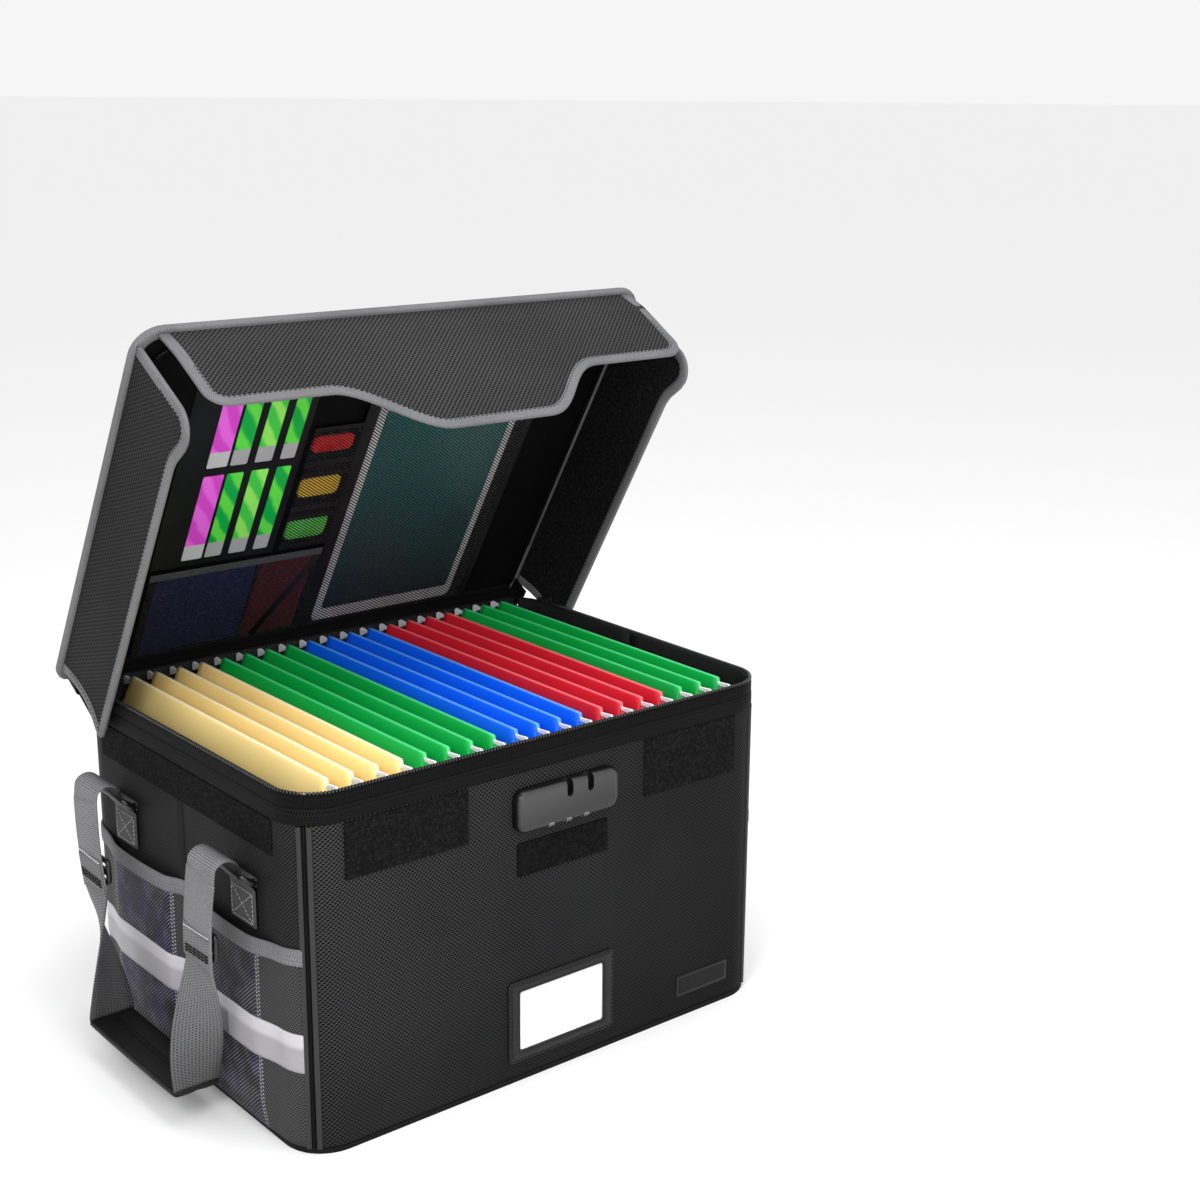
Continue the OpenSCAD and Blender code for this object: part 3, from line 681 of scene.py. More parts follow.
def lock_paint():
    m = Mat("lock_metal")
    px, py = m.coords("xy")
    _, pz = m.coords("xz")
    # painted shade: the housing's sides are near-black and only its front face grey
    face = m.range(py, -167.9, -165.2, 1.0, 0.0)
    # painted light: the front face grows lighter towards its top
    up = m.range(m.add(pz, m.mul(px, -0.12)), 196.0, 230.0, 0.55, 1.35)
    n = m.noise(2200.0, 3.0)
    m.set(color=m.scale(m.mix(face, g(0.003), g(0.04)), up), rough=0.36, metal=0.2, spec=0.4, normal=m.bump(n, 0.02, 0.5))
    return m.m


M_LOCK = lock_paint()
M_DIAL = plain("dial_metal", g(0.2), 0.3, metal=0.8)
M_CARD = paper("white_card", (0.86, 0.86, 0.85))
M_GRIP = plain("grip_rubber", g(0.004), 0.5, grain=700, depth=0.12, spec=0.25)
M_REFL = Mat("reflective_tape")
M_HOOK = plain("hook_metal", (0.86, 0.87, 0.9), 0.3, grain=400, depth=0.02, vary=0.08)


def reflective():
    m = M_REFL
    u, v = m.coords()
    cell = m.add(m.sin(m.mul(m.add(u, v), 2 * math.pi / 1.6)), m.sin(m.mul(m.sub(u, v), 2 * math.pi / 1.6)))
    big = m.range(m.noise(12.0, 2.0), 0.3, 0.7, 0.93, 1.05)
    h = m.math("ABSOLUTE", m.sub(v, 75.0))
    edge = m.range(h, 12.3, 13.2)
    turned = m.mul(m.range(u, 37.0, 37.6), m.range(u, 66.6, 67.2, 1.0, 0.0))
    tone = m.mul(m.mul(big, m.range(cell, -1.5, 1.5, 0.97, 1.03)), m.sub(1.0, m.mul(turned, m.range(u, 37.0, 67.0, 0.35, 0.62, False))))
    m.set(color=m.mix(m.mul(edge, 0.75), m.scale((0.34, 0.33, 0.35), tone), (0.56, 0.55, 0.58)), rough=0.42, metal=0.1, spec=0.3, normal=m.bump(cell, 0.03, 0.5))


reflective()
M_REFL = M_REFL.m


def pocket_cloth():
    """Mesh with a dark navy ground, paler slanting rows, and a woven border outside two dotted lines."""
    m = Mat("pocket_mesh")
    u, v = m.coords()
    # u is the distance from the side's middle, v the height
    a = m.math("ABSOLUTE", u)
    inside = m.mul(m.range(a, 17.0, 17.6), m.range(a, 106.0, 106.6, 1.0, 0.0))
    pitch = 2.9
    ph = m.mul(m.sub(v, m.mul(u, 0.85)), 2 * math.pi / pitch)
    row = m.range(m.sin(ph), -0.35, 0.7)
    dots = m.range(m.sin(m.mul(m.add(u, m.mul(v, 0.15)), 2 * math.pi / 1.9)), -0.8, 0.6)
    f = m.mul(row, m.add(0.5, m.mul(dots, 0.5)))
    patch = m.noise(26.0, 2.0)
    ground = m.mix(m.range(patch, 0.4, 0.66), (0.003, 0.003, 0.005), (0.010, 0.008, 0.034))
    thread = m.mix(m.range(patch, 0.4, 0.66), (0.12, 0.118, 0.125), (0.15, 0.14, 0.21))
    spark = m.range(m.noise(70.0, 2.0), 0.4, 0.75, 0.55, 1.9)
    net = m.mix(m.mul(f, spark), ground, thread)
    # woven border
    a1 = m.mul(u, 2 * math.pi / 2.8)
    b1 = m.mul(v, math.pi / 1.5)
    h = m.add(m.add(m.mul(m.cos(m.add(a1, b1)), 1.35), m.mul(m.cos(m.sub(a1, b1)), 0.65)), m.mul(m.cos(m.mul(b1, 2.0)), 0.8))
    hole = m.range(h, -0.4, 0.9)
    weave = m.mix(hole, g(0.056), g(0.0012))
    # dotted lines along the mesh's edges
    d1 = m.sub(a, 15.8)
    d2 = m.sub(a, 107.2)
    d = m.math("MINIMUM", m.math("ABSOLUTE", d1), m.math("ABSOLUTE", d2))
    sgn = m.range(m.mul(d1, m.sub(0.0, d2)), -0.2, 0.2, 0.0, math.pi)
    col_dots = m.mul(m.mul(m.range(d, 0.25, 0.5), m.range(d, 1.5, 1.9, 1.0, 0.0)), m.range(m.sin(m.add(m.mul(v, 2 * math.pi / 2.9), sgn)), 0.1, 0.7))
    base = m.mix(inside, weave, net)
    col = m.mix(m.mul(col_dots, 0.8), base, g(0.42))
    nrm = m.bump(m.add(m.mul(f, inside), m.mul(m.sub(1.0, hole), m.sub(1.0, inside))), 0.32, 0.8, m.bump(m.noise(15.0, 2.0), 3.0, 0.35))
    m.set(color=col, rough=0.55, spec=0.15, normal=nrm)
    return m.m


M_POCKET = pocket_cloth()
# each second colour is the painted highlight along a folder's fold
PAPERS = {"folders_manila": paper("paper_manila", (1.0, 0.76, 0.3), (1.0, 0.93, 0.66)), "folders_green_left": paper("paper_green", (0.0, 0.4, 0.06), (0.1, 0.68, 0.27)),
          "folders_blue": paper("paper_blue", (0.0, 0.13, 0.95), (0.14, 0.42, 1.0)), "folders_red": paper("paper_red", (0.68, 0.012, 0.03), (0.95, 0.2, 0.22)),
          "folders_green_right": paper("paper_green_b", (0.0, 0.4, 0.06), (0.1, 0.68, 0.27))}

# ---------------------------------------------------------------- box walls
Z0, Z1 = 4.0, H
SEC = wall_section(Z0, Z1, T)
put(band("front_cloth", SEAM[0] + GAP, SEAM[1] - GAP, SEC, M_CLOTH), "box", "box_cloth", "front_panel")
put(band("right_cloth_front", SEAM[1] + GAP, CREASE_R - 0.5, SEC, M_SIDE), "box", "box_cloth", "right_side_front")
put(band("right_cloth_rear", CREASE_R + 0.5, SEAM[2] - GAP, SEC, M_SIDE), "box", "box_cloth", "right_side_rear")
put(band("back_cloth", SEAM[2] + GAP, SEAM[3] - GAP, SEC, M_CLOTH), "box", "box_cloth", "back_panel")
put(band("left_cloth_rear", SEAM[3] + GAP, TOTAL - 0.5, SEC, M_SIDE), "box", "box_cloth", "left_side_rear")
put(band("left_cloth_front", 0.5, SEAM[0] - GAP, SEC, M_SIDE), "box", "box_cloth", "left_side_front")

# piping: a dark cord between two rolled ribs, at each upright corner
ribs, cords = [], []
for k, sm in enumerate(SEAM):
    for sd in (-1, 1):
        t = np.linspace(0, 1, 13)
        ss = sm + sd * (1.2 + 4.4 * t)
        off = 0.15 + 1.75 * np.sin(np.pi * np.clip(t, 0, 1)) ** 0.6
        q = along(ss)
        zs = np.concatenate([[4.2, 5.0], np.linspace(7, H - BAND - 1.5, 30), [H - BAND - 0.5]])
        P = np.zeros((len(ss), len(zs), 3))
        P[..., 0] = (q[:, 0] + q[:, 2] * off)[:, None]
        P[..., 1] = (q[:, 1] + q[:, 3] * off)[:, None]
        P[..., 2] = zs[None]
        U = np.stack(np.meshgrid(ss, zs, indexing="ij"), -1)
        ribs.append(grid(f"rib{k}{sd}", P, U, M_PIPE))
    c = along(np.array([sm]))[0]
    zs = np.linspace(4.0, H - BAND, 20)
    path = np.stack([np.full_like(zs, c[0] + c[2] * 0.2), np.full_like(zs, c[1] + c[3] * 0.2), zs], -1)
    cords.append(sweep(f"cord{k}", path, np.array([c[2], c[3], 0.0]), oval(1.5, 1.5, 12, 2.0), M_CORD))
put(merge(ribs + cords, "corner_piping"), "box", "piping", "corner_pipings")

# zip tape: a ribbed strip above a folded one
ZA, ZB = -140.0, CREASE_R + 140.0


low = [(0.0, H - BAND), (1.1, H - BAND + 0.5), (1.3, H - BAND + 1.4), (1.35, H - BAND + 6), (1.2, H - BAND + 11), (0.75, H - BAND + 12.2), (0.0, H - BAND + 12.2)]
up = [(0.0, H - 10.2), (0.7, H - 10.2), (0.95, H - 9.0), (1.0, H - 4.5), (0.85, H - 1.2), (0.3, H - 0.2), (0.0, H - 0.2)]
tp = [band("tape_" + nm, ZA, ZB, sec, mt) for nm, sec, mt in (("low", low, M_TAPE2), ("up", up, M_TAPE))]
put(merge(tp, "rim_tape"), "box", "zip_tape", "rim_zip_tape")


def teeth(name, s_list, z, body, slot, node, place=None, up=1.0):
    """The zip's coil: one rounded loop for each stitch of thread."""
    V, F, UV = [], [], []
    q = along(np.asarray(s_list))
    shape = []
    for (o, zz, k) in ((-1.5, 0.0, 0.35), (-1.35, 1.1, 0.5), (-0.5, 1.7, 0.62), (0.5, 1.6, 0.62), (1.0, 0.9, 0.5), (1.05, 0.0, 0.35)):
        shape.append((o, zz, k))
    m = len(shape)
    for i, p in enumerate(q):
        tx, ty = -p[3], p[2]
        tx, ty = (p[3] * -1, p[2])
        base = len(V)
        for (o, zz, k) in shape:
            for sd in (-1, 1):
                V.append((p[0] + p[2] * o + tx * sd * k * 1.25, p[1] + p[3] * o + ty * sd * k * 1.25, z + zz * up))
        for j in range(m - 1):
            a = base + 2 * j
            F.append([a, a + 1, a + 3, a + 2])
            UV += [(0, j), (1, j), (1, j + 1), (0, j + 1)]
        F.append([base + 2 * j for j in range(m)])
        UV += [(0, j) for j in range(m)]
        F.append([base + 2 * j + 1 for j in range(m)][::-1])
        UV += [(1, j) for j in range(m)]
        F.append([base, base + 2 * (m - 1), base + 2 * (m - 1) + 1, base + 1])
        UV += [(0, 0), (0, 1), (1, 1), (1, 0)]
    V = np.array(V)
    if place is not None:
        V = place(V)
    ob = finish_mesh(name, V, F, np.array(UV, float), M_COIL, smooth=False)
    put(ob, body, slot, *([node] if node else []))
    return ob


pitch = 2.5
sl = np.concatenate([np.arange(TOTAL - 131.0, TOTAL, pitch), np.arange(0.6, CREASE_R + 131.0, pitch)])
teeth("rim_teeth", sl, H - 0.05, "box", "zip_coil", "body_zip_teeth")

# bottom: the cloth-covered board and the board inside keep their own shape
for n, mt in (("bottom_panel", plain("bottom_cloth", g(0.006), 0.7, grain=1200, depth=0.2, spec=0.1)), ("base_board", plain("board_cloth", g(0.006), 0.7, grain=900, depth=0.1, spec=0.1)),
              ("folder_rails", plain("rail_plastic", g(0.008), 0.35, grain=500, depth=0.03)), ("label_window", None)):
    o = NODES[n]
    if mt is not None:
        o.data.materials.clear()
        o.data.materials.append(mt)


def clear_film():
    m = Mat("clear_film")
    m.set(color=(0.95, 0.97, 1.0), rough=0.08, alpha=0.12, spec=0.6, normal=m.bump(m.noise(60.0, 2.0), 0.2, 0.3))
    return m.m


NODES["label_window"].data.materials.clear()
NODES["label_window"].data.materials.append(clear_film())

# ---------------------------------------------------------------- hook-and-loop patches
FX, FY, FZ = (1, 0, 0), (0, 0, 1), (0, -1, 0)


def front_patch(name, x0, x1, z0, z1, t=1.0, r=1.5, mat=None, bevel=0.5):
    w, h = x1 - x0, z1 - z0
    return plate(name, roundrect(w, h, r), ((x0 + x1) / 2, -HD, (z0 + z1) / 2), FX, FY, FZ, t, mat or M_VEL, bevel)


vp = [front_patch("v1", -176, -76, 198, H - BAND - 1), front_patch("v2", 84, 176, 194, H - BAND - 1),
      front_patch("v3", LOCK_X - 42, LOCK_X + 41, LOCK_Z - 35, LOCK_Z - 9, mat=M_VELD)]
for sd in (-1, 1):
    vp.append(plate("v4", roundrect(252, 26, 1.5), (sd * HW, 0, H - 36), (0, -sd, 0), (0, 0, 1), (sd, 0, 0), 1.0, M_VELS, 0.5))
put(merge(vp, "hook_and_loop_patches"), "box", "velcro", "velcro_patches")

# ---------------------------------------------------------------- lock
LC = (LOCK_X, -HD, LOCK_Z + 16)


def lock_body():
    """Soft pillow-shaped housing with two notches from its upper edge and wells for the dials at its lower edge."""
    bm = bmesh.new()
    prof = [(92, 32, 7.5, 0.0), (92, 32, 7.5, 3.2), (91.2, 31.2, 7.2, 5.0), (89.4, 29.4, 6.6, 6.7), (86.5, 26.5, 5.8, 7.7), (82, 22, 4.5, 8.0)]
    rings = []
    for (w, h, r, t) in prof:
        pts = roundrect(w, h, r, 8)
        rings.append([bm.verts.new(((LC[0] + p[0]) * S, (LC[1] - t) * S, (LC[2] + p[1]) * S)) for p in pts])
    for a, b in zip(rings[:-1], rings[1:]):
        for j in range(len(a)):
            bm.faces.new((a[j], a[(j + 1) % len(a)], b[(j + 1) % len(a)], b[j]))
    bm.faces.new(rings[0][::-1])
    bm.faces.new(rings[-1])
    bmesh.ops.recalc_face_normals(bm, faces=bm.faces)
    me = bpy.data.meshes.new("lock_body")
    bm.to_mesh(me)
    bm.free()
    ob = bpy.data.objects.new("lock_body", me)
    bpy.context.scene.collection.objects.link(ob)
    me.materials.append(M_LOCK)
    cuts = []

    def cutter(lo, hi):
        b2 = bmesh.new()
        bmesh.ops.create_cube(b2, size=1.0)
        for v in b2.verts:
            v.co = Vector([(lo[i] + (hi[i] - lo[i]) * (v.co[i] + 0.5)) * S for i in range(3)])
        m2 = bpy.data.meshes.new("cut")
        b2.to_mesh(m2)
        b2.free()
        m2.materials.append(M_BLACK)
        c = bpy.data.objects.new("cut", m2)
        bpy.context.scene.collection.objects.link(c)
        cuts.append(c)

    def notch(x):
        pts = [(x - 2.75, 18)] + [(x + 2.75 * math.cos(a), 6.2 + 2.75 * math.sin(a)) for a in np.linspace(math.pi, 2 * math.pi, 9)] + [(x + 2.75, 18)]
        b2 = bmesh.new()
        f = [b2.verts.new(((LC[0] + p[0]) * S, (-HD - 10) * S, (LC[2] + p[1]) * S)) for p in pts]
        k = [b2.verts.new(((LC[0] + p[0]) * S, (-HD - 2.6) * S, (LC[2] + p[1]) * S)) for p in pts]
        b2.faces.new(f)
        b2.faces.new(k[::-1])
        for j in range(len(pts)):
            b2.faces.new((f[j], k[j], k[(j + 1) % len(pts)], f[(j + 1) % len(pts)]))
        bmesh.ops.recalc_face_normals(b2, faces=b2.faces)
        m2 = bpy.data.meshes.new("cut")
        b2.to_mesh(m2)
        b2.free()
        m2.materials.append(M_BLACK)
        c = bpy.data.objects.new("cut", m2)
        bpy.context.scene.collection.objects.link(c)
        cuts.append(c)

    notch(0)
    notch(19)
    for i in (-1, 0, 1):
        x = LOCK_X + 16 * i
        cutter((x - 2.9, -HD - 7.8, LOCK_Z - 2), (x + 2.9, -HD - 0.3, LOCK_Z + 6.2))
    cutter((LOCK_X + 46 - 8, -HD - 5.8, LOCK_Z + 6), (LOCK_X + 48, -HD - 0.8, LOCK_Z + 26))
    for c in cuts:
        md = ob.modifiers.new("cut", "BOOLEAN")
        md.operation = "DIFFERENCE"
        md.object = c
        md.solver = "EXACT"
        md.material_mode = "TRANSFER"
    md = ob.modifiers.new("soften", "BEVEL")
    md.width = 0.45 * S
    md.segments = 3
    md.limit_method = "ANGLE"
    md.angle_limit = math.radians(50)
    ob.data.polygons.foreach_set("use_smooth", [True] * len(ob.data.polygons))
    bake(ob)
    for c in cuts:
        m2 = c.data
        bpy.data.objects.remove(c)
        bpy.data.meshes.remove(m2)
    sharp_by_angle(ob, 40)
    return ob


put(lock_body(), "box", "lock_metal", "lock_housing")
for i in (1, 2, 3):
    put(copy_bevel(f"lock_dial_{i}", f"dial_{i}_wheel", M_DIAL, 0.15, 2), f"dial_{i}", "dial_metal", f"lock_dial_{i}")
put(copy_bevel("lock_release_button", "release_key", M_BLACK, 0.5, 3), "release_button", "button_metal", "lock_release_button")

# ---------------------------------------------------------------- label holder and badge
LX, LZ = 6.0, 48.5
hold = [plate("lf", roundrect(98, 64, 3.5), (LX, -HD, LZ), FX, FY, FZ, 1.6, M_FRAME, 0.6, holes=[roundrect(77, 46, 1.6)]),
        plate("lf2", roundrect(92.5, 58.5, 3.0), (LX, -HD - 1.2, LZ), FX, FY, FZ, 1.0, M_FRAME, 0.5, holes=[roundrect(78.2, 47.2, 1.8)])]
for (w, h, off) in ((95.4, 61.4, 1.65), (81.0, 50.0, 2.15)):
    rr = roundrect(w, h, 2.5, 5)
    path = np.array([(LX + p[0], -HD - off, LZ + p[1]) for p in np.concatenate([rr, rr[:1]])])
    hold.append(stitches("ls", path, (0, -1, 0), M_THREADB, 2.4, 1.1, 0.28))
put(merge(hold, "label_frame"), "box", "frame_plastic", "label_holder")
put(plate("label_sheet", roundrect(80.8, 55.5, 0.6), (LX, -HD - 0.3, 50.75), FX, FY, FZ, 0.7, M_CARD, 0.15), "label_card", "white_card", "label_card")
bd = [plate("bp", roundrect(53, 17, 1.5), (147, -HD, 26.5), FX, FY, FZ, 0.8, M_FRAME, 0.4),
      plate("bp2", roundrect(48.5, 12.5, 1.0), (147, -HD - 0.7, 26.5), FX, FY, FZ, 0.45, cloth("badge_cloth", g(0.004), g(0.022), cw=1.6, ch=0.7, depth=0.1), 0.25)]
put(merge(bd, "bare_badge"), "box", "badge_cloth", "badge_patch")

# ---------------------------------------------------------------- side pockets
def pocket_off(y):
    """How far the pocket cloth stands off the side."""
    a = abs(y)
    if a > A:
        return 1.0
    e = min(1.0, max(0.0, (a - 2.0) / 22.0)) * min(1.0, max(0.0, (A + 2 - a) / 34.0))
    e = e * e * (3 - 2 * e)
    return 1.0 + 5.6 * e


def pocket_top(y):
    a = abs(y)
    t = min(1.0, a / (A + 22))
    return 150.5 - 4.0 * math.sin(math.pi * t) ** 1.4


def pocket(sd, name):
    """One cloth for both of a side's pockets, sewn down in the middle and into the corner seams."""
    ss = np.concatenate([-samples(0.0, SEAM[0] - GAP - 0.8, 5.0)[::-1][:-1], samples(0.0, SEAM[0] - GAP - 0.8, 5.0)])
    n = len(ss)
    tz = np.linspace(0, 1, 22)
    P = np.zeros((n, 44, 3))
    U = np.zeros((n, 45, 2))
    TOP = []
    for i, s in enumerate(ss):
        q = along(np.array([abs(s)]))[0]
        y = q[1] if s >= 0 else -q[1]
        ny = q[3] if s >= 0 else -q[3]
        yy = -abs(s)
        o = pocket_off(yy)
        zt = pocket_top(yy)
        TOP.append((q[0], y, q[2], ny, o, zt, s))
        for j, t in enumerate(tz):
            z = 4.8 + (zt - 4.8) * t
            # the cloth draws in near the base and bags out a little half way up
            k = min(1.0, 0.25 + t * 5.0) * (1 + 0.06 * math.sin(math.pi * t))
            oo = 0.9 + (o - 1.0) * k
            P[i, j] = (q[0] + q[2] * oo, y + ny * oo, z)
            P[i, 43 - j] = (q[0] + q[2] * (oo - 0.7), y + ny * (oo - 0.7), z)
            U[i, j] = (s, z)
            U[i, 43 - j] = (s, z)
        U[i, 44] = U[i, 0]
    if sd > 0:
        P[..., 0] *= -1
        P, U = P[::-1], U[::-1]
    ob = grid(name, P[:, ::-1], U[:, ::-1], M_POCKET, wv=True, caps=True)
    # a bound upper edge folded over both faces
    TOP = np.array(TOP)
    sec = [(-0.95, -9.0), (-0.95, -4.0), (-1.0, 0.5), (-0.3, 1.5), (0.6, 1.5), (1.25, 0.7), (1.35, -2.0), (1.35, -8.5), (1.15, -10.4), (0.75, -10.6), (0.2, -10.4), (-0.2, -10.0)]
    PB = np.zeros((n, len(sec), 3))
    vb = lengths(np.array(sec), True)
    UB = np.zeros((n, len(sec) + 1, 2))
    for i in range(n):
        x, y, nx, ny, o, zt, s = TOP[i]
        oo = 0.9 + (o - 1.0)
        for j, (a, b) in enumerate(sec):
            PB[i, j] = (x + nx * (oo + a), y + ny * (oo + a), zt + b)
        UB[i, :, 0] = s
        UB[i, :, 1] = vb
    if sd > 0:
        PB[..., 0] *= -1
        PB, UB = PB[::-1], UB[::-1]
    bo = grid(name + "_b", PB[:, ::-1], UB[:, ::-1], M_BIND, wv=True, caps=True)
    # reflective strip, sewn along both edges, with a folded end at the middle
    RS = np.zeros((n, 8, 3))
    UR = np.zeros((n, 9, 2))
    secr = [(0.0, 60.6), (0.45, 60.8), (0.55, 63), (0.5, 75), (0.55, 87), (0.45, 89.2), (0.0, 89.4), (-0.1, 75)]
    for i in range(n):
        x, y, nx, ny, o, zt, s = TOP[i]
        for j, (a, b) in enumerate(secr):
            t = (b - 4.8) / (zt - 4.8)
            k = min(1.0, 0.25 + t * 5.0) * (1 + 0.06 * math.sin(math.pi * t))
            oo = 0.9 + (o - 1.0) * k
            RS[i, j] = (x + nx * (oo + a), y + ny * (oo + a), b)
            UR[i, j] = (s, b)
        UR[i, 8] = UR[i, 0]
    if sd > 0:
        RS[..., 0] *= -1
        RS, UR = RS[::-1], UR[::-1]
    ro = grid(name + "_r", RS[:, ::-1], UR[:, ::-1], M_REFL, wv=True, caps=True)
    return ob, bo, ro


pl, bl, rl = pocket(-1, "left_pocket_cloth")
pr, br, rr_ = pocket(1, "right_pocket_cloth")
put(pl, "box", "pocket_mesh", "left_pocket")
put(pr, "box", "pocket_mesh", "right_pocket")
put(merge([bl, br], "pocket_edge_binding"), "box", "grey_binding", "pocket_bindings")
put(merge([rl, rr_], "reflective_bands"), "box", "reflective_tape", "reflective_strips")

# ---------------------------------------------------------------- handles
HYY = 88.0
SW = (-244.0, 199.0)


def flip(P, sd, my):
    P = np.array(P, float)
    if sd > 0:
        P[..., 0] *= -1
    if my:
        P[..., 1] *= -1
    return P


def ribbon(name, C, Wd, Nn, width, t, mat, mirror=False, body=None, v0=0.0):
    """A strap: centre line C, width direction Wd, face normal Nn. u runs along, v across."""
    C, Wd, Nn = (np.asarray(a, float) for a in (C, Wd, Nn))
    n = len(C)
    w = np.full(n, width) if np.isscalar(width) else np.asarray(width)
    vs = np.array([-0.5, -0.49, -0.3, -0.1, 0.1, 0.3, 0.49, 0.5])
    th = np.array([0.45, 0.9, 1, 1, 1, 1, 0.9, 0.45]) * t / 2
    m = len(vs)
    P = np.zeros((n, 2 * m, 3))
    U = np.zeros((n, 2 * m + 1, 2))
    u = lengths(C)
    for j in range(m):
        P[:, j] = C + Wd * (vs[j] * w)[:, None] + Nn * th[j]
        P[:, 2 * m - 1 - j] = C + Wd * (vs[j] * w)[:, None] - Nn * th[j]
        U[:, j, 0] = u
        U[:, j, 1] = vs[j] * w + 50
        U[:, 2 * m - 1 - j] = U[:, j]
    U[:, 2 * m] = U[:, 0]
    if mirror:
        P = P[:, ::-1]
        U = np.concatenate([U[:, 2 * m - 1::-1], U[:, 2 * m - 1:2 * m]], 1)
    return grid(name, P, U, mat, wv=True, caps=True)


for sd, side in ((-1, "left"), (1, "right")):
    tabs, rings, arches = [], [], []
    straps, webs, glides = [], [], []
    for my in (False, True):
        mir = (sd > 0) != my
        # tab: doubled webbing stitched down with a crossed box, its top turned round the ring
        C = [(-212.6, -HYY, 153.5)] + [(-212.7, -HYY, z) for z in (158, 164, 170, 176, 181)]
        for a in np.linspace(-60, 150, 12):
            C.append((-214.0 - 3.3 * math.cos(math.radians(a)) * 1.0, -HYY, 188 + 3.3 * math.sin(math.radians(a))))
        C.append((-211.2, -HYY, 184.0))
        C = flip(C, sd, my)
        Wd = flip(np.tile((0, 1.0, 0), (len(C), 1)), sd, my)
        Tn = np.gradient(C, axis=0)
        Tn /= np.linalg.norm(Tn, axis=1)[:, None]
        Nn = np.cross(Tn, Wd)
        tabs.append(ribbon("tab", C, Wd, Nn, 33.0, 1.5, M_TAB, mir))
        f = -213.6
        a0, a1, z0, z1 = -HYY - 14, -HYY + 14, 156, 178
        for q in (((a0, z0), (a1, z0)), ((a1, z0), (a1, z1)), ((a1, z1), (a0, z1)), ((a0, z1), (a0, z0)), ((a0, z0), (a1, z1)), ((a0, z1), (a1, z0))):
            pa = flip([(f, q[0][0], q[0][1]), (f, q[1][0], q[1][1])], sd, my)
            pa = np.linspace(pa[0], pa[1], 8)
            tabs.append(stitches("ts", pa, (sd, 0, 0), M_THREADG, 2.4, 1.0, 0.32, 0.1))
        # the webbing from under the arch to the ring
        C = []
        for a in np.linspace(-28, 150, 22):
            C.append((-234 + 10 * math.cos(math.radians(a)), -HYY, 199 + 10 * math.sin(math.radians(a))))
        for t in np.linspace(0.2, 1.0, 6):
            C.append((-242.7 - 1.3 * math.sin(t * math.pi / 2), -HYY, 204 - 14 * t))
        C = [c for c in C]
        C = flip(C, sd, my)
        Tn = np.gradient(C, axis=0)
        Tn /= np.linalg.norm(Tn, axis=1)[:, None]
        Wd = flip(np.tile((0, 1.0, 0), (len(C), 1)), sd, my)
        Nn = np.cross(Tn, Wd)
        ar = ribbon("arch", C, Wd, Nn, 36.5, 1.6, M_WEBA, mir)
        arches.append(ar)
    for k, ar in enumerate(arches):
        ar.name = f"{side}_webbing_arch_{k + 1}"
        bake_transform(ar)
    if side == "left":
        keep_tabs = tabs
        keep_arches = arches
    else:
        keep_tabs += tabs
        keep_arches += arches

    # swinging parts
    for my in (False, True):
        mir = (sd > 0) != my
        ya = -HYY
        # upper strap: stitched double, lean towards the middle
        zt, zb = 196.0, 128.0
        zz = np.linspace(zt, zb, 14)
        k = (zt - zz) / (zt - zb)
        bow = -1.3 * np.sin(np.pi * k)
        C = flip(np.stack([SW[0] + bow, ya + 9 * k, zz], -1), sd, my)
        Tn = np.gradient(C, axis=0)
        Tn /= np.linalg.norm(Tn, axis=1)[:, None]
        Wd0 = flip(np.tile((0, 1.0, 0), (len(C), 1)), sd, my)
        Nn = np.cross(Tn, Wd0)
        Nn /= np.linalg.norm(Nn, axis=1)[:, None]
        Wd = np.cross(Nn, Tn)
        straps.append(ribbon("st", C, Wd, Nn, 37.5, 1.8, M_WEB1, mir))
        # the doubled end below the seam
        sel = zz < 157
        C2 = C[sel] + np.array([sd * 1.0, 0, 0])
        straps.append(ribbon("st2", C2, Wd[sel], Nn[sel], 37.0, 0.9, M_WEB2, mir))
        for zs, mt, rr2 in ((154.0, M_THREAD, 0.5), (139.5, M_THREADB, 0.6), (137.2, M_THREADB, 0.6), (134.9, M_THREADB, 0.6)):
            kk = (zt - zs) / (zt - zb)
            yc = ya + 9 * kk
            xx = SW[0] - 1.3 * math.sin(math.pi * kk) - (1.5 if zs < 160 else 1.0)
            pa = np.linspace((xx, yc - 17.5, zs + 0.6), (xx, yc + 17.5, zs - 0.6), 12)
            straps.append(stitches("ss", flip(pa, sd, my), (sd, 0, 0), mt, 2.6 if mt is M_THREAD else 5.2, 0.9 if mt is M_THREAD else 0.4, rr2, 0.15))
        # tri-glide on the strap's inner face
        org = flip(np.array([[SW[0] + 1.2, ya + 7.5, 146.0]]), sd, my)[0]
        glides.append(plate("tg", roundrect(43, 20, 5), org, (0, 1, 0), (0, 0, 1), (-sd, 0, 0), 3.0, M_BLACK, 1.0,
                            holes=[roundrect(37, 4.4, 1.5) + np.array([0, 4.6]), roundrect(37, 4.4, 1.5) + np.array([0, -4.6])]))
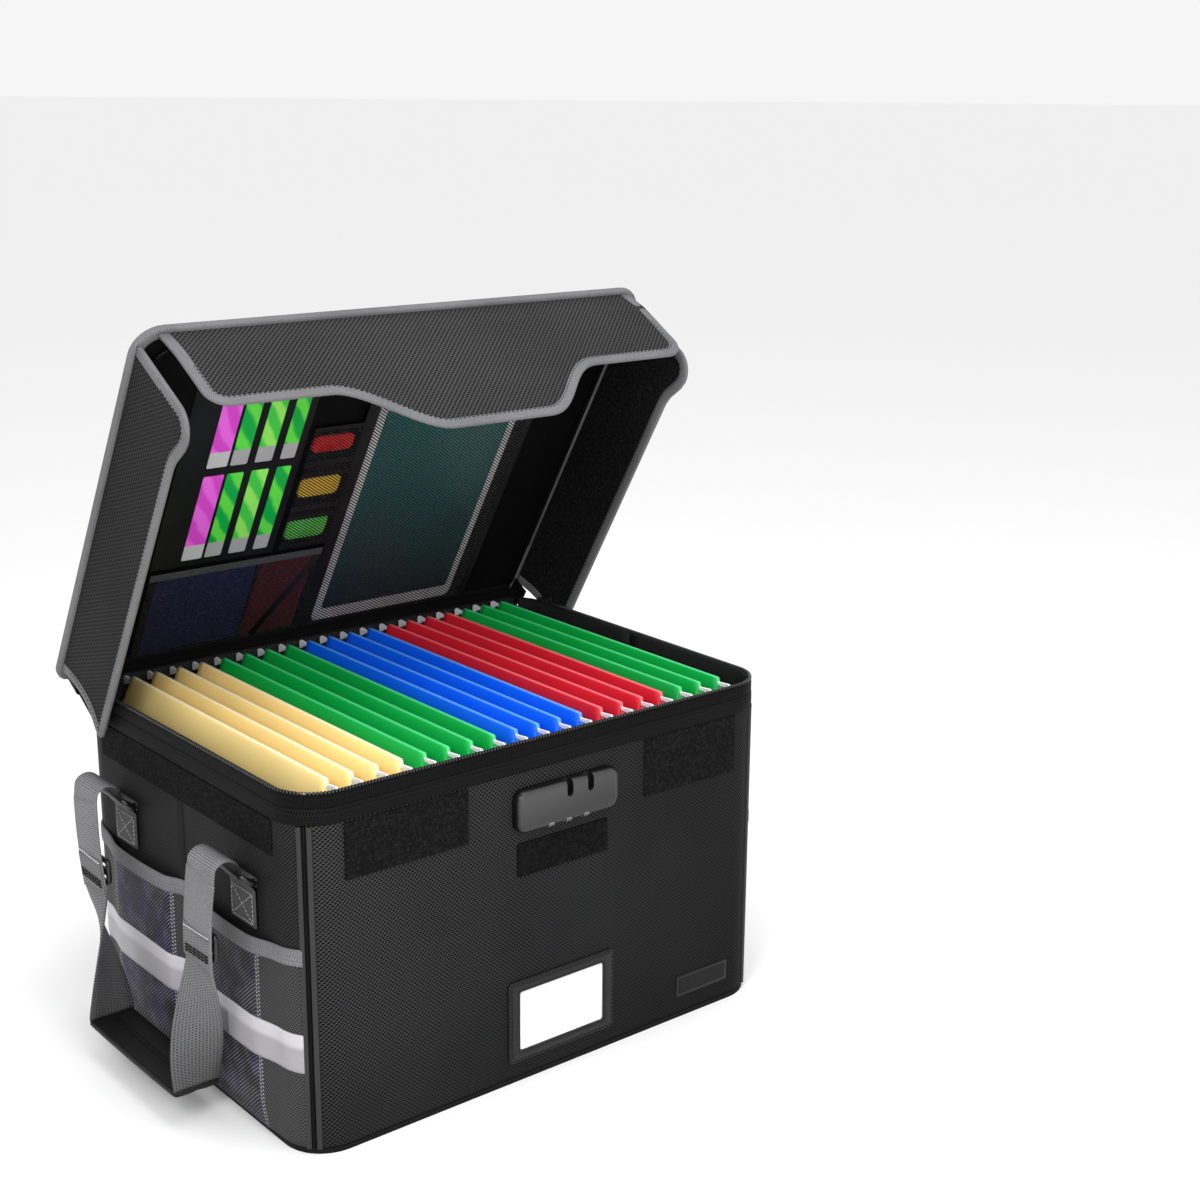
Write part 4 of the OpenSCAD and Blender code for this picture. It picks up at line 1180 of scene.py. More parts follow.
        # lower webbing turns a quarter turn on its way to the flat grip
        zt2, zb2 = 136.0, 30.5
        kk = np.linspace(0, 1, 40)
        zz = zt2 + (zb2 - zt2) * kk
        e = kk * kk * (3 - 2 * kk)
        yc = (ya + 8) + (-66.4 - (ya + 8)) * e
        ang = np.radians(90 * np.clip((kk - 0.08) / 0.9, 0, 1) ** 1.15)
        C = np.stack([np.full_like(zz, SW[0] + 0.2), yc, zz], -1)
        Wd = np.stack([-np.sin(ang), np.cos(ang), 0 * ang], -1)
        C, Wd = flip(C, sd, my), flip(Wd, sd, my)
        Tn = np.gradient(C, axis=0)
        Tn /= np.linalg.norm(Tn, axis=1)[:, None]
        Nn = np.cross(Tn, Wd)
        Nn /= np.linalg.norm(Nn, axis=1)[:, None]
        wid = np.interp(kk, [0, 0.15, 1], [37.0, 36.5, 35.5])
        webs.append(ribbon("wb", C, Wd, Nn, wid, 1.7, M_WEB2, mir))
    put(merge(straps, f"{side}_upper_straps"), f"{side}_handle", "light_webbing", f"{side}_straps")
    put(merge(webs, f"{side}_lower_webbing"), f"{side}_handle", "grey_webbing", f"{side}_webbing")
    put(merge(glides, f"{side}_adjusters"), f"{side}_handle", "black_plastic", f"{side}_tri_glides")
    # grip: a flat padded band with a lengthwise seam, its ends rolled up round the webbing
    ys = np.concatenate([[-67.6, -67.2, -66], np.linspace(-62, 62, 27), [66, 67.2, 67.6]])
    n = len(ys)
    a = np.linspace(0, 2 * np.pi, 40, endpoint=False)
    P = np.zeros((n, 40, 3))
    U = np.zeros((n, 41, 2))
    for i, y in enumerate(ys):
        k = 1.0 if 2 < i < n - 3 else (0.86, 0.95, 0.99)[min(i, n - 1 - i)]
        sag = 1.6 * (1 - (y / 67.6) ** 2)
        c, s_ = np.cos(a), np.sin(a)
        px = 18.0 * k * np.sign(c) * abs(c) ** 0.45
        pz = 2.55 * k * np.sign(s_) * abs(s_) ** 0.55
        groove = np.exp(-(px / 1.2) ** 2) * 0.7 * np.sign(s_)
        P[i, :, 0] = SW[0] + px
        P[i, :, 1] = y
        P[i, :, 2] = 28.6 - sag * 0.6 + pz - groove
        U[i, :40, 0] = y
        U[i, :40, 1] = px + 30
        U[i, 40] = U[i, 0]
    P = flip(P, sd, False)
    gr = [grid("gr", P if sd > 0 else P[:, ::-1], U if sd > 0 else np.concatenate([U[:, 39::-1], U[:, 39:40]], 1), M_GRIP, wv=True, caps=True)]
    for xo in (-1.7, 1.7, -16.0, 16.0):
        pa = np.stack([np.full(30, SW[0] + xo), np.linspace(-64, 64, 30), 31.0 - 0.96 * (1 - (np.linspace(-64, 64, 30) / 67.6) ** 2)], -1)
        gr.append(stitches("gs", flip(pa, sd, False), (0, 0, 1), M_THREADB, 3.0, 1.2, 0.3, -0.05 if abs(xo) < 5 else -0.15))
    put(merge(gr, f"{side}_grip_band"), f"{side}_handle", "grip_rubber", f"{side}_grip")

put(merge(keep_tabs, "ring_tabs"), "box", "grey_webbing", "handle_tabs")
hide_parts("handle_loops")
put(copy_bevel("handle_rings", "ring_loops", M_BLACK, 0.2, 2, 60), "box", "black_plastic", "handle_rings")

# ---------------------------------------------------------------- folders
PITCH = 19.55
GROUPS = (("folders_manila", 0, 3), ("folders_green_left", 4, 7), ("folders_blue", 8, 11), ("folders_red", 12, 15), ("folders_green_right", 16, 18))
TOPZ = 264.3
FL = 297.2 / 2
RAILT = H - 6.3


def folder(i, mat):
    x0 = -176.0 + 0.05 + i * PITCH
    rng = np.random.RandomState(40 + i)
    lean = rng.uniform(-0.06, 0.06)
    # leaf from low on the left face, over the fold, down the right face
    prof = [(-8.4, 30), (-8.4, 120), (-8.3, 217), (-7.7, 234), (-6.2, 245), (-4.1, 254), (-2.4, 260.5), (-1.5, 263.0), (-0.9, 264.0), (0.0, 264.3), (0.9, 263.9), (1.5, 262.7), (1.9, 258), (2.4, 248), (2.9, 236), (2.9, 120), (2.9, 30)]
    ys = np.concatenate([[-FL, -FL + 2.4, -FL + 5, -FL + 7.6, -FL + 8.6], np.linspace(-FL + 14, FL - 14, 13), [FL - 8.6, FL - 7.6, FL - 5, FL - 2.4, FL]])
    P = np.zeros((len(ys), len(prof), 3))
    U = np.zeros_like(P)[..., :2]
    v = np.abs(lengths(np.array(prof, float)) - lengths(np.array(prof, float))[9])
    for a, y in enumerate(ys):
        cut = float(np.interp(abs(y), [FL - 8.6, FL - 7.6, FL], [TOPZ, TOPZ - 6.0, TOPZ - 22.0]))
        for b, (x, z) in enumerate(prof):
            wob = 0.1 * math.sin(y * 0.021 + i * 1.7) + 0.04 * math.sin(y * 0.06 + i)
            P[a, b] = (x0 + x + wob * (0.3 + 0.7 * (z < 250)) + lean * (TOPZ - z) / 240.0, y, min(z, cut))
            U[a, b] = (y, v[b])
    return grid(f"leaf{i}", P, U, mat, smooth=True)


def hook_bar(i):
    x0 = -176.0 + 0.05 + i * PITCH
    z0, z1 = RAILT + 0.5, RAILT + 6.0
    # half of the bar from its middle outwards: (y, lower edge, upper edge, half thickness)
    st = [(0, z0, z1, 0.6), (139, z0, z1, 0.6), (141.5, z0 + 2.6, z1 - 0.9, 0.9), (147.5, z0 + 2.2, z1 - 0.4, 0.95), (149.4, z0, z1 - 0.2, 0.95), (152.3, z0, z1, 0.95), (152.5, RAILT - 3.6, z1 - 0.2, 0.95), (154.3, RAILT - 3.6, z1 - 1.2, 0.95)]
    full = [(-y, a, b, h) for (y, a, b, h) in st[:0:-1]] + st
    P = np.array([[(x0 - h, y, a), (x0 + h, y, a), (x0 + h, y, b), (x0, y, b + 0.25), (x0 - h, y, b)] for (y, a, b, h) in full])
    U = np.array([[(y, k) for k in range(6)] for (y, a, b, h) in full], float)
    return grid(f"hb{i}", P[:, ::-1], U[:, ::-1], M_HOOK, wv=True, caps=True, smooth=False)


for node, a, b in GROUPS:
    leaves = [folder(i, PAPERS[node]) for i in range(a, b + 1)]
    ob = merge(leaves, node.replace("folders", "leaves"))
    md = ob.modifiers.new("paper", "SOLIDIFY")
    md.thickness = 0.5 * S
    md.offset = -1
    bake(ob)
    put(ob, node, {"folders_manila": "paper_manila", "folders_blue": "paper_blue", "folders_red": "paper_red"}.get(node, "paper_green"), node)
    put(merge([hook_bar(i) for i in range(a, b + 1)], node.replace("folders", "hooks")), node, "hook_metal")

# ---------------------------------------------------------------- lid
def lid_outline(o, rear, front, n=8, step=20.0):
    """The lid's edge in the closed position, as a closed loop; its front corners are rounder than its rear ones."""
    x, yf, yr = BX + o, -BYF - o, BYR + o
    pts = []
    for sx, sy, a0, r in ((1, 1, 0, rear), (-1, 1, 90, rear), (-1, -1, 180, front), (1, -1, 270, front)):
        cx, cy = sx * (x - r), (yr - r if sy > 0 else yf + r)
        for i in range(n + 1):
            a = math.radians(a0 + 90 * i / n)
            pts.append((cx + r * math.cos(a), cy + r * math.sin(a)))
    out = []
    for a, b in zip(pts, pts[1:] + pts[:1]):
        d = math.dist(a, b)
        k = max(1, int(d / step))
        for i in range(k):
            out.append((a[0] + (b[0] - a[0]) * i / k, a[1] + (b[1] - a[1]) * i / k))
    return np.array(out)


def lid_sheet(name, o, rear, front, z, nz, mat):
    """A gently crowned cloth face over the lid board."""
    nx, ny = 40, 30
    x, yf, yr = BX + o, -BYF - o, BYR + o
    u = np.linspace(-1, 1, nx)
    v = np.linspace(-1, 1, ny)
    Ug, Vg = np.meshgrid(u, v, indexing="ij")
    X = Ug * x
    Y = (yf + yr) / 2 + Vg * (yr - yf) / 2
    # round the four corners
    ym = (yf + yr) / 2
    r = np.where(Y < ym, front, rear)
    cx, cy = x - r, (yr - yf) / 2 - r
    dx, dy = np.maximum(abs(X) - cx, 0), np.maximum(abs(Y - ym) - cy, 0)
    m = np.maximum(dx, dy)
    k = np.where(np.hypot(dx, dy) > 1e-9, m / np.maximum(np.hypot(dx, dy), 1e-9), 1.0)
    X = np.sign(X) * (np.minimum(abs(X), cx) + dx * k)
    Y = ym + np.sign(Y - ym) * (np.minimum(abs(Y - ym), cy) + dy * k)
    crown = nz * (1 - Ug ** 4) * (1 - Vg ** 4)
    P = lid(np.stack([X, Y, z + crown], -1))
    U = np.stack([X, Y], -1)
    if nz < 0 or name.endswith("inner"):
        P, U = P[:, ::-1], U[:, ::-1]
    return grid(name, P, U, mat)


put(merge([lid_sheet("lid_outer", -1.5, 8, 16.5, BZ + 1.9, 0.8, M_FLAP), lid_sheet("lid_inner", -1.5, 8, 16.5, BZ - 2.4, -0.01, M_LIDIN)], "lid_cloth"), "lid", "box_cloth", "lid_panel")
edge = lid_outline(0, 10, 18)
edge[:, 1] = np.minimum(edge[:, 1], BYR - 1.3)
path = lid(np.concatenate([edge, np.full((len(edge), 1), BZ)], 1))
Nlid = lid(np.array([[0, 0, 1.0]]))[0] - lid(np.array([[0, 0, 0.0]]))[0]
put(sweep("lid_edge_binding", path, Nlid, oval(4.4, 3.4, 24, 3.0), M_BIND, closed=True), "lid", "grey_binding", "lid_binding")
o = NODES["lid_lining"]
lin = lid_sheet("lid_lining_cloth", -12.6, 24, 24, LAY + 0.1, -0.05, M_LIDIN)
put(lin, "lid", "lining_cloth", "lid_lining")

# the lid's half of the zip: tape standing on the lining, with its coil
lt = band("lid_zip_tape", -104.0, CREASE_R + 104.0, [(-1.4, LAY + 0.8), (-1.4, H + 4.2), (-0.9, H + 3.4), (0.3, H + 3.4), (0.9, H + 4.2), (1.0, LAY + 0.8)], M_TAPE)
co = np.empty(len(lt.data.vertices) * 3)
lt.data.vertices.foreach_get("co", co)
lt.data.vertices.foreach_set("co", (lid(co.reshape(-1, 3) / S) * S).ravel())
put(lt, "lid", "zip_tape", "lid_zip")
sl = np.concatenate([np.arange(TOTAL - 103.0, TOTAL, pitch), np.arange(0.6, CREASE_R + 103.0, pitch)])
teeth("lid_teeth", sl, H + 5.4, "lid", "zip_coil", None, place=lid, up=-0.95)

# fabric hinge along the back
yz = [(HD + 0.9, H - 34.0), (HD + 1.3, H - 26.0), (HD + 1.9, H - 18.0), (HY, HZ - 2.0), (HY, HZ)]
c = lid(np.array([[0, HY, HZ + 2.0], [0, HY, HZ + 5.0], [0, HY, HZ + 9.0], [0, HY - 0.2, HZ + 13.0], [0, HY - 1.2, HZ + 15.6], [0, HY - 3.6, HZ + 16.6], [0, HY - 7.0, HZ + 17.2], [0, HY - 11.0, HZ + 17.8]]))
yz += [(p[1], p[2]) for p in c]
hp = np.array([(0, a, b) for a, b in yz])
xs = np.concatenate([[-210, -207.5, -203, -198, -193, -187], np.linspace(-180, 180, 30), [187, 193, 198, 203, 207.5, 210]])
dn = np.gradient(hp, axis=0)
dn /= np.linalg.norm(dn, axis=1)[:, None]
nn = np.cross(dn, np.array([1.0, 0, 0]))
P = np.zeros((len(xs), 2 * len(hp), 3))
U = np.zeros((len(xs), 2 * len(hp) + 1, 2))
ul = lengths(hp)
for i, x in enumerate(xs):
    # below the hinge line the cloth follows the box round its rear corners
    dip = -(R - math.sqrt(max(0.0, R * R - max(0.0, abs(x) - (HW - R)) ** 2)))
    for j in range(len(hp)):
        low_part = min(1.0, max(0.0, (HZ - hp[j][2]) / 22.0)) * (j < 5)
        at = hp[j] + np.array([x, dip * low_part, 0])
        P[i, j] = at - nn[j] * 0.7
        P[i, 2 * len(hp) - 1 - j] = at + nn[j] * 0.7
        U[i, j] = (x, ul[j])
        U[i, 2 * len(hp) - 1 - j] = (x, ul[j])
    U[i, -1] = U[i, 0]
hc = grid("hinge_cloth", P, U, M_FLAPIN, wv=True, caps=True)
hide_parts("lid_hinge_strip")
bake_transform(hc)

# a small cloth gusset closes each rear corner, from the hinge cloth's end forward to the side flap
gu = []
for sd in (-1, 1):
    t = np.linspace(0, 1, 12)
    gx = np.interp(t, [0, 0.2, 0.4, 0.6, 1.0], [206.0, 210.5, 213.2, 214.3, 214.6])
    gy = np.interp(t, [0, 0.2, 0.4, 0.6, 1.0], [162.0, 161.4, 159.0, 155.0, 146.5])
    gz = np.array([250.3, 254.0, 258.5, 263.0, 267.0, 268.6])
    tx, ty = np.gradient(gx), np.gradient(gy)
    tl = np.hypot(tx, ty)
    nx_, ny_ = ty / tl, -tx / tl
    G = np.zeros((12, 12, 3))
    GU = np.zeros((12, 13, 2))
    gl = np.concatenate([[0], np.cumsum(np.hypot(np.diff(gx), np.diff(gy)))])
    for i in range(12):
        for j in range(6):
            G[i, j] = (sd * (gx[i] - nx_[i] * 0.5), gy[i] - ny_[i] * 0.5, gz[j])
            G[i, 11 - j] = (sd * (gx[i] + nx_[i] * 0.5), gy[i] + ny_[i] * 0.5, gz[j])
            GU[i, j] = GU[i, 11 - j] = (gl[i], gz[j])
        GU[i, 12] = GU[i, 0]
    G = lid(G)
    if sd > 0:
        G, GU = G[::-1], GU[::-1]
    gu.append(grid(f"gusset{sd}", G, GU, M_FLAPIN, wv=True, caps=True))
put(merge(gu, "rear_corner_gussets"), "lid", "lining_cloth")

# ---------------------------------------------------------------- flaps
FFE, FFT = 84.0, 132.0


def flap_low(x):
    a = abs(x)
    e, t = BZ - FFE, BZ - FFT
    if a < 42:
        return t
    if a < 116:
        return t + (e - t) * (1 - math.cos(math.pi * (a - 42) / 74)) / 2
    return e


FXH, FRR = HW - 5.0, 16.0


def front_y(z):
    """Middle of the front flap's board at a height, closed."""
    zz = [100.0, ROOT - 22, ROOT, BZ]
    yy = [-BYF - 3.2, -BYF - 3.2, 0.0 - BYF, -BYF]
    return np.interp(z, zz, yy)


def front_edge(n=8):
    """The free edge of the front flap, from its left root to its right root."""
    pts = []
    e = BZ - FFE
    for z in np.linspace(BZ - 4.5, e + FRR, 6):
        pts.append((-FXH, z))
    for a in np.linspace(180, 270, 10)[1:]:
        pts.append((-FXH + FRR + FRR * math.cos(math.radians(a)), e + FRR + FRR * math.sin(math.radians(a))))
    for x in np.linspace(-FXH + FRR, FXH - FRR, 90)[1:]:
        pts.append((x, flap_low(x)))
    for a in np.linspace(270, 360, 10)[1:]:
        pts.append((FXH - FRR + FRR * math.cos(math.radians(a)), e + FRR + FRR * math.sin(math.radians(a))))
    for z in np.linspace(e + FRR, BZ - 4.5, 6)[1:]:
        pts.append((FXH, z))
    return np.array(pts)


def low_at(x):
    e = BZ - FFE
    a = abs(x)
    if a > FXH - FRR:
        d = a - (FXH - FRR)
        return e + FRR - math.sqrt(max(0.0, FRR * FRR - d * d))
    return flap_low(x)


def front_flap(off, mat, name, rev):
    xs = np.concatenate([-FXH + FRR * (1 - np.cos(np.linspace(0, math.pi / 2, 9))), np.linspace(-FXH + FRR, FXH - FRR, 64)[1:-1], FXH - FRR * (1 - np.cos(np.linspace(math.pi / 2, 0, 9)))])
    ts = np.linspace(0, 1, 26)
    P = np.zeros((len(xs), len(ts), 3))
    U = np.zeros((len(xs), len(ts), 2))
    for i, x in enumerate(xs):
        lo = low_at(x)
        for j, t in enumerate(ts):
            z = (BZ - 1.0) + (lo - BZ + 1.0) * t
            k = 0.5 * math.sin(x * 0.02) * math.sin(math.pi * t)
            P[i, j] = (x, front_y(z) + off + k, z)
            U[i, j] = (x, z)
    P = lid(P)
    if rev:
        P, U = P[:, ::-1], U[:, ::-1]
    return grid(name, P, U, mat)


ff = [front_flap(-1.15, M_FLAP, "ffo", True), front_flap(1.15, M_FLAPIN, "ffi", False)]
ed = front_edge()
ep = lid(np.array([(p[0], front_y(p[1]), p[1]) for p in ed]))
Nf = lid(np.array([[0, -1.0, 0]]))[0] - lid(np.array([[0, 0.0, 0]]))[0]
bsec = [(0.4, 1.3), (-0.2, 1.65), (-3.0, 1.75), (-6.4, 1.7), (-7.2, 1.3), (-7.3, 0.4), (-7.3, -0.4), (-7.2, -1.3), (-6.4, -1.7), (-3.0, -1.75), (-0.2, -1.65), (0.4, -1.3), (0.75, -0.5), (0.75, 0.5)]
fb = sweep("ffb", ep, Nf, bsec, M_BIND2, caps=True)
ff.append(fb)


def edge_seams(ep, N):
    """Thread lines on both faces of a flap's binding."""
    t = np.gradient(ep, axis=0)
    t /= np.linalg.norm(t, axis=1)[:, None]
    B = np.cross(t, N)
    B /= np.linalg.norm(B, axis=1)[:, None]
    keep = slice(3, len(ep) - 3)
    return [stitches("es", (ep - B * 5.8 + N * k * 1.72)[keep], N * k, M_THREADB, 2.3, 1.5, 0.3, 0.05) for k in (-1.0, 1.0)]


ff += edge_seams(ep, Nf)
put(merge(ff, "front_flap_cloth"), "front_flap", "box_cloth", "front_flap")

SR = 18.0
SY0, SY1 = -HD, HD - 8


def side_low(y):
    """Depth of a side flap's lower edge below the lid's edge."""
    if y < SY0 + SR:
        d = SY0 + SR - y
        return 85 - SR + math.sqrt(max(0.0, SR * SR - d * d))
    if y > SY1 - 5:
        d = y - (SY1 - 5)
        return 76 - 5 + math.sqrt(max(0.0, 25 - d * d))
    k = min(1.0, max(0.0, (y - SY0 - SR) / 29.0))
    return 85 - 9 * k * k * (3 - 2 * k)


def side_rear(d):
    """Place of the rear edge at a depth: it draws in below the lid and runs out to a point."""
    return np.interp(d, [0, 8, 15, 24, 34, 44, 52, 60, 66, 71, 80], [150, 148.4, 146.6, 144.4, 143.1, 143.0, 144.4, 147.6, 150.5, 152, 152])


def side_edge():
    """Free edge of a side flap in the closed position, as (y, depth)."""
    pts = [(SY0, d) for d in np.linspace(4.5, 85 - SR, 6)]
    pts += [(SY0 + SR - SR * math.cos(math.radians(a)), 85 - SR + SR * math.sin(math.radians(a))) for a in np.linspace(0, 90, 9)[1:]]
    pts += [(y, side_low(y)) for y in np.linspace(SY0 + SR, SY1 - 5, 40)[1:]]
    pts += [(SY1 - 5 + 5 * math.sin(math.radians(a)), 71 + 5 * math.cos(math.radians(a))) for a in np.linspace(0, 90, 7)[1:]]
    pts += [(side_rear(d), d) for d in np.linspace(66, 4.5, 16)]
    return np.array(pts)


def side_flap(sd, off, mat, name):
    ys = np.concatenate([SY0 + SR * (1 - np.cos(np.linspace(0, math.pi / 2, 9))), np.linspace(SY0 + SR, SY1 - 26, 36)[1:], np.linspace(SY1 - 26, SY1 - 1.0, 10)[1:], [SY1 - 0.3]])
    ts = np.linspace(0, 1, 22)
    P = np.zeros((len(ys), len(ts), 3))
    U = np.zeros((len(ys), len(ts), 2))
    for i, y in enumerate(ys):
        for j, t in enumerate(ts):
            d = 1.0 + (side_low(y) - 1.0) * t
            k = min(1.0, max(0.0, (y - 60.0) / (SY1 - 60.0)))
            yy = y - (SY1 - side_rear(d)) * k * k
            P[i, j] = (sd * (BX + off), yy, BZ - d)
            U[i, j] = (yy, d)
    P = lid(P)
    if (off > 0) == (sd > 0):
        P, U = P[:, ::-1], U[:, ::-1]
    return grid(name, P, U, mat)


for sd, side in ((-1, "left"), (1, "right")):
    obs = [side_flap(sd, 1.15, M_FLAP_SHADED, "sfo"), side_flap(sd, -1.15, M_FLAPV, "sfi")]
    e = side_edge()
    ep = lid(np.array([(sd * BX, p[0], BZ - p[1]) for p in e]))
    if sd > 0:
        ep = ep[::-1]
    Ns = np.array([-1.0, 0, 0])
    # the binding's wide part has to lie over the flap, whichever way the edge was walked
    tt = np.gradient(ep, axis=0)[3]
    if np.dot(np.cross(tt, Ns), ep[3] - ep.mean(0)) < 0:
        Ns = -Ns
    obs.append(sweep("sfb", ep, Ns, bsec, M_BIND2, caps=True))
    obs += edge_seams(ep, Ns)
    put(merge(obs, f"{side}_flap_cloth"), f"{side}_flap", "box_cloth", f"{side}_flap")

# ---------------------------------------------------------------- zip sliders
for side in ("left", "right"):
    put(copy_bevel(f"{side}_zip_slider", f"{side}_slider_body", plain("slider_metal" if side == "left" else "slider_metal_b", g(0.05), 0.3, metal=0.7), 0.25, 2), f"{side}_slider", "slider_metal", f"{side}_zip_slider")
    put(copy_bevel(f"{side}_zip_pull", f"{side}_pull_tab", plain("pull_metal" if side == "left" else "pull_metal_b", g(0.02), 0.35, metal=0.5), 0.3, 2), f"{side}_pull", "pull_metal", f"{side}_zip_pull")

# ---------------------------------------------------------------- organiser in the lid
def on_lid(name, pts, x, s, h, t, mat, bevel=0.4, body="lid", holes=()):
    """A plate lying on the lining: x along the hinge, s away from it, rising towards the box by t from height h."""
    org = lid(np.array([[x, HY - s, LAY - h]]))[0]
    au = np.array([1.0, 0, 0])
    av = lid(np.array([[0, -1.0, 0]]))[0] - lid(np.array([[0, 0.0, 0]]))[0]
    an = lid(np.array([[0, 0, -1.0]]))[0] - lid(np.array([[0, 0, 0.0]]))[0]
    return plate(name, pts, org, au, av, an, t, mat, bevel, holes=holes)


M_SATIN = plain("organiser_satin", g(0.009), 0.5, grain=300, depth=0.15, vary=0.25, spec=0.12)
put(on_lid("card_backing", roundrect(105, 196, 2), -112.5, 202, 0.0, 0.9, M_SATIN), "lid", "lining_cloth", "card_panel")


def streaks(name, a, b, c):
    """Bright card with slanting streaks of two tones."""
    m = Mat(name)
    u, v = m.coords()
    n = m.noise(30.0, 2.0)
    f = m.range(m.sin(m.add(m.mul(m.add(v, m.mul(u, 1.6)), 2 * math.pi / 34.0), m.mul(n, 5.0))), -0.6, 0.6)
    foot = m.range(v, -27.5, -26.5, 0.0, 1.0)
    m.set(color=m.mix(foot, c, m.mix(f, a, b)), rough=0.45, spec=0.4, normal=m.bump(m.noise(500.0), 0.03, 0.5))
    return m.m


MG = streaks("card_magenta", (0.72, 0.06, 0.62), (0.86, 0.14, 0.78), (0.55, 0.55, 0.55))
GR = streaks("card_green", (0.12, 0.75, 0.06), (0.0, 0.4, 0.05), (0.4, 0.4, 0.4))
GR2 = streaks("card_lime", (0.3, 0.85, 0.12), (0.05, 0.6, 0.06), (0.4, 0.4, 0.4))
cards = []
for r in (0, 1):
    for k, (x0, x1, mt) in enumerate(((-141, -124, MG), (-121.5, -107.5, GR), (-101, -86.5, GR2), (-79.5, -67, GR))):
        cards.append(on_lid(f"c{r}{k}", roundrect(x1 - x0, 84, 1.4), (x0 + x1) / 2, 153 + 92 * r, 1.0, 0.8, mt, 0.3))
put(merge(cards, "slim_cards"), "lid", "card_magenta", "pocket_contents")
st = []
for (sa, sb, col, nm) in ((205, 221, (0.9, 0.02, 0.02), "stick_red"), (160, 179, (1.0, 0.66, 0.05), "stick_yellow"), (116, 137, (0.18, 0.9, 0.12), "stick_green")):
    st.append(on_lid(nm, roundrect(36, sb - sa, 5), -36, (sa + sb) / 2, 0.3, 2.6, plain(nm, col, 0.3), 1.1))
put(merge(st, "sticks"), "lid", "stick_red")
M_SCREEN = screen("organiser_mesh", g(0.003), g(0.02), 2.6, 0.42)
M_SCREEN2 = screen("organiser_mesh_fine", g(0.012), g(0.035), 2.7, 0.46, cross=0.12)
M_SCREEN3 = screen("booklet_mesh", g(0.004), g(0.03), 2.2, 0.42)
sp = [on_lid("spm", roundrect(43, 120, 1), -35.5, 169, 3.2, 0.3, M_SCREEN, 0.1)]
for s in (109, 139, 149, 183, 195, 229):
    sp.append(on_lid("spb", roundrect(43, 4, 1), -35.5, s, 3.0, 0.7, M_SATIN, 0.3))
put(merge(sp, "stick_pocket_mesh"), "lid", "pocket_mesh", "stick_pockets")
bk = [on_lid("bk1", roundrect(86, 81, 2), -115, 55.5, 0.4, 2.5, plain("booklet_navy", (0.016, 0.015, 0.1), 0.45, spec=0.2), 0.5), on_lid("bk2", roundrect(48, 78, 2), -44, 54, 0.4, 2.5, plain("booklet_red", (0.12, 0.006, 0.012), 0.45, spec=0.2), 0.5)]
put(merge(bk, "booklets"), "lid", "booklet_navy")
bp = [on_lid("bpm", roundrect(151, 89, 1), -89.5, 57.5, 3.2, 0.3, M_SCREEN3, 0.1), on_lid("bpt", roundrect(151, 7, 1), -89.5, 98.5, 3.0, 0.7, binding("mesh_edge", g(0.012), g(0.09), 7.0, 1.6), 0.3),
      on_lid("bpf", np.array([(-3.2, -46), (3.2, -46), (3.2, 46), (-3.2, 46)]) @ np.array([[0.885, -0.466], [0.466, 0.885]]), -37, 55, 3.35, 0.25, M_SATIN, 0.08)]
put(merge(bp, "booklet_pocket_mesh"), "lid", "pocket_mesh", "booklet_pocket")


def tablet_screen():
    """A bare screen: one plain fade from dark blue to teal."""
    m = Mat("tablet_face")
    u, v = m.coords()
    f = m.range(v, -106.0, 106.0, 0.0, 1.0, False)
    m.set(color=m.mix(f, (0.006, 0.018, 0.04), (0.01, 0.17, 0.16)), rough=0.3, spec=0.25)
    return m.m


tb = [on_lid("tbz", roundrect(140, 240, 8), 68, 134, 0.2, 2.7, plain("tablet_bezel", (0.8, 0.81, 0.82), 0.3), 0.8), on_lid("tbs", roundrect(126, 212, 3), 68, 134, 2.85, 0.22, tablet_screen(), 0.1)]
put(merge(tb, "tablet_body"), "tablet", "tablet_face", "tablet")
tpk = [on_lid("tpm", roundrect(163, 278, 1), 72.5, 152, 3.4, 0.3, M_SCREEN2, 0.1),
       on_lid("tpb", roundrect(11, 284, 1), -8.5, 155, 3.1, 0.8, M_SATIN, 0.4), on_lid("tpr", roundrect(7, 280, 1), 151, 152, 3.1, 0.8, M_SATIN, 0.4),
       on_lid("tpt", roundrect(163, 7, 1), 72.5, 289, 3.15, 0.7, M_SATIN, 0.3), on_lid("tpl", roundrect(163, 4, 1), 72.5, 13.5, 3.15, 0.7, M_SATIN, 0.3)]
put(merge(tpk, "tablet_pocket_mesh"), "lid", "pocket_mesh", "tablet_pocket")

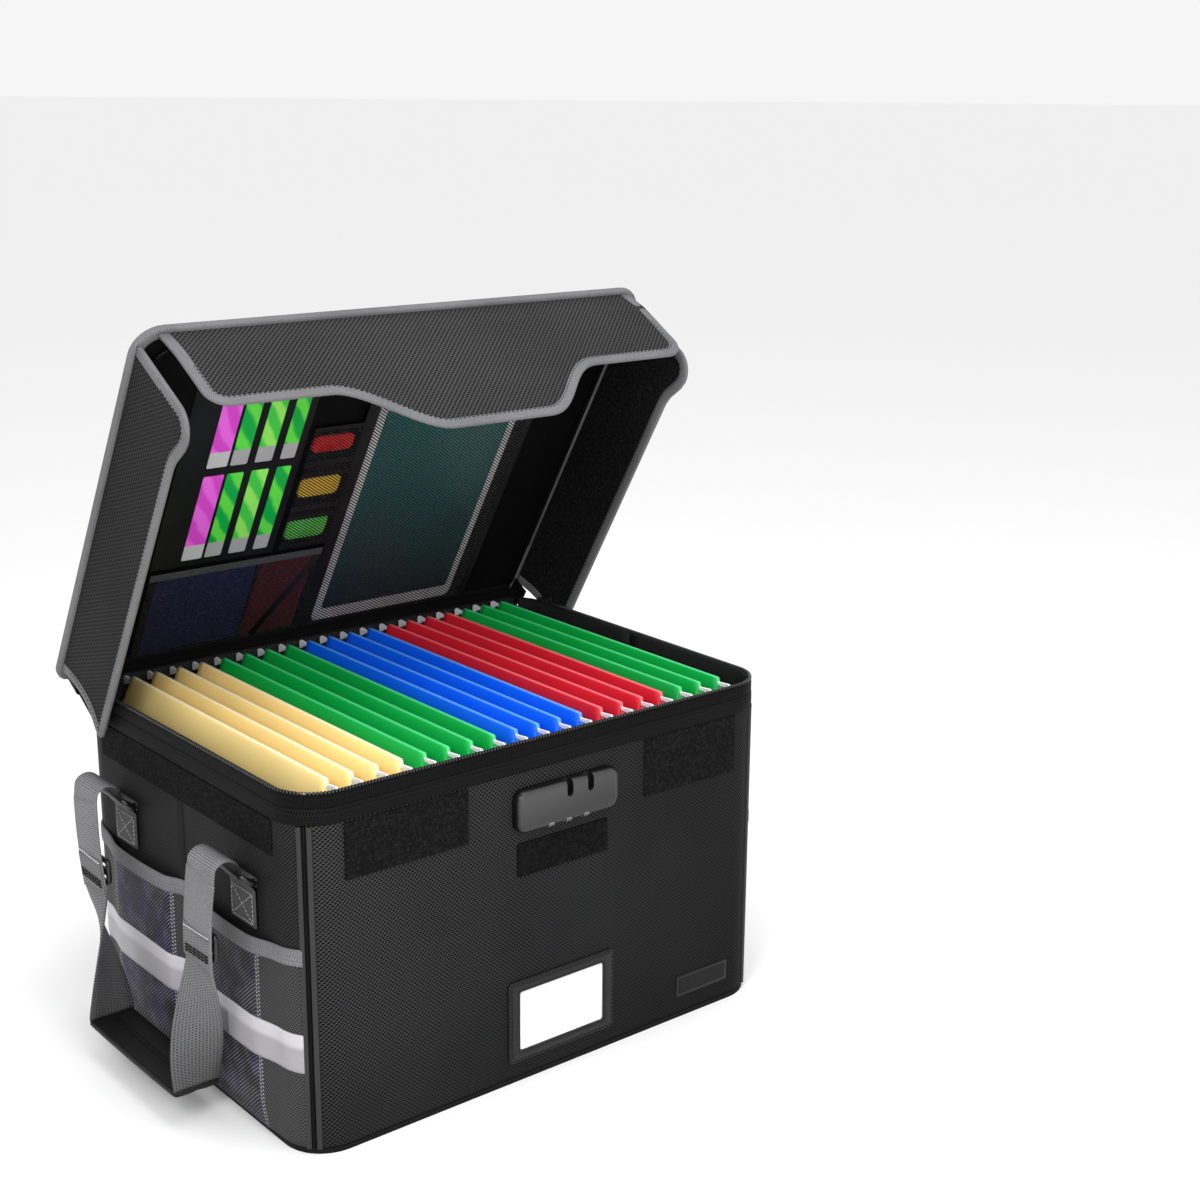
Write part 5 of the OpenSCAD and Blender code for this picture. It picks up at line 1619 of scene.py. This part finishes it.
# ---------------------------------------------------------------- floor, light and camera
bpy.ops.mesh.primitive_plane_add(size=160, location=(0, 0, 0))
floor = bpy.context.object
floor.name = "floor"
fm = Mat("floor")
fm.set(color=(0.94, 0.94, 0.94), rough=0.8, spec=0.1)
floor.data.materials.append(fm.m)

world = bpy.data.worlds.new("studio")
bpy.context.scene.world = world
world.use_nodes = True
world.node_tree.nodes["Background"].inputs[0].default_value = (1.0, 1.0, 1.0, 1)
world.node_tree.nodes["Background"].inputs[1].default_value = 0.92


def area(name, loc, target, size, power):
    l = bpy.data.lights.new(name, "AREA")
    l.shape = "RECTANGLE"
    l.size, l.size_y = size
    l.energy = power
    o = bpy.data.objects.new(name, l)
    o.location = loc
    d = Vector(target) - Vector(loc)
    o.rotation_euler = d.to_track_quat("-Z", "Y").to_euler()
    bpy.context.scene.collection.objects.link(o)


area("key", (-0.95, -0.72, 0.96), (-0.1, -0.1, 0.24), (0.45, 0.45), 6.0)
area("top", (0.1, -0.5, 2.0), (0, 0, 0.1), (1.2, 1.2), 15)
area("front", (-0.4, -1.8, 0.8), (0, 0.05, 0.3), (0.8, 0.8), 8)

cam = bpy.data.cameras.new("camera")
co_ = bpy.data.objects.new("camera", cam)
bpy.context.scene.collection.objects.link(co_)
yaw, pit, rol = 0.692265, 0.268985, 0.007725
fwd = Vector((math.sin(yaw) * math.cos(pit), math.cos(yaw) * math.cos(pit), -math.sin(pit)))
rgt = Vector((math.cos(yaw), -math.sin(yaw), 0.0))
upv = rgt.cross(fwd)
r2 = rgt * math.cos(rol) + upv * math.sin(rol)
u2 = -rgt * math.sin(rol) + upv * math.cos(rol)
rot = Matrix((r2, u2, -fwd)).transposed()
co_.matrix_world = Matrix.Translation(Vector((-0.785562, -1.156390, 0.710332))) @ rot.to_4x4()
cam.sensor_width = 36.0
cam.lens = 1895.552 / 1200 * 36
cam.clip_start = 0.05
cam.clip_end = 60
bpy.context.scene.camera = co_
bpy.context.scene.view_settings.view_transform = "Standard"
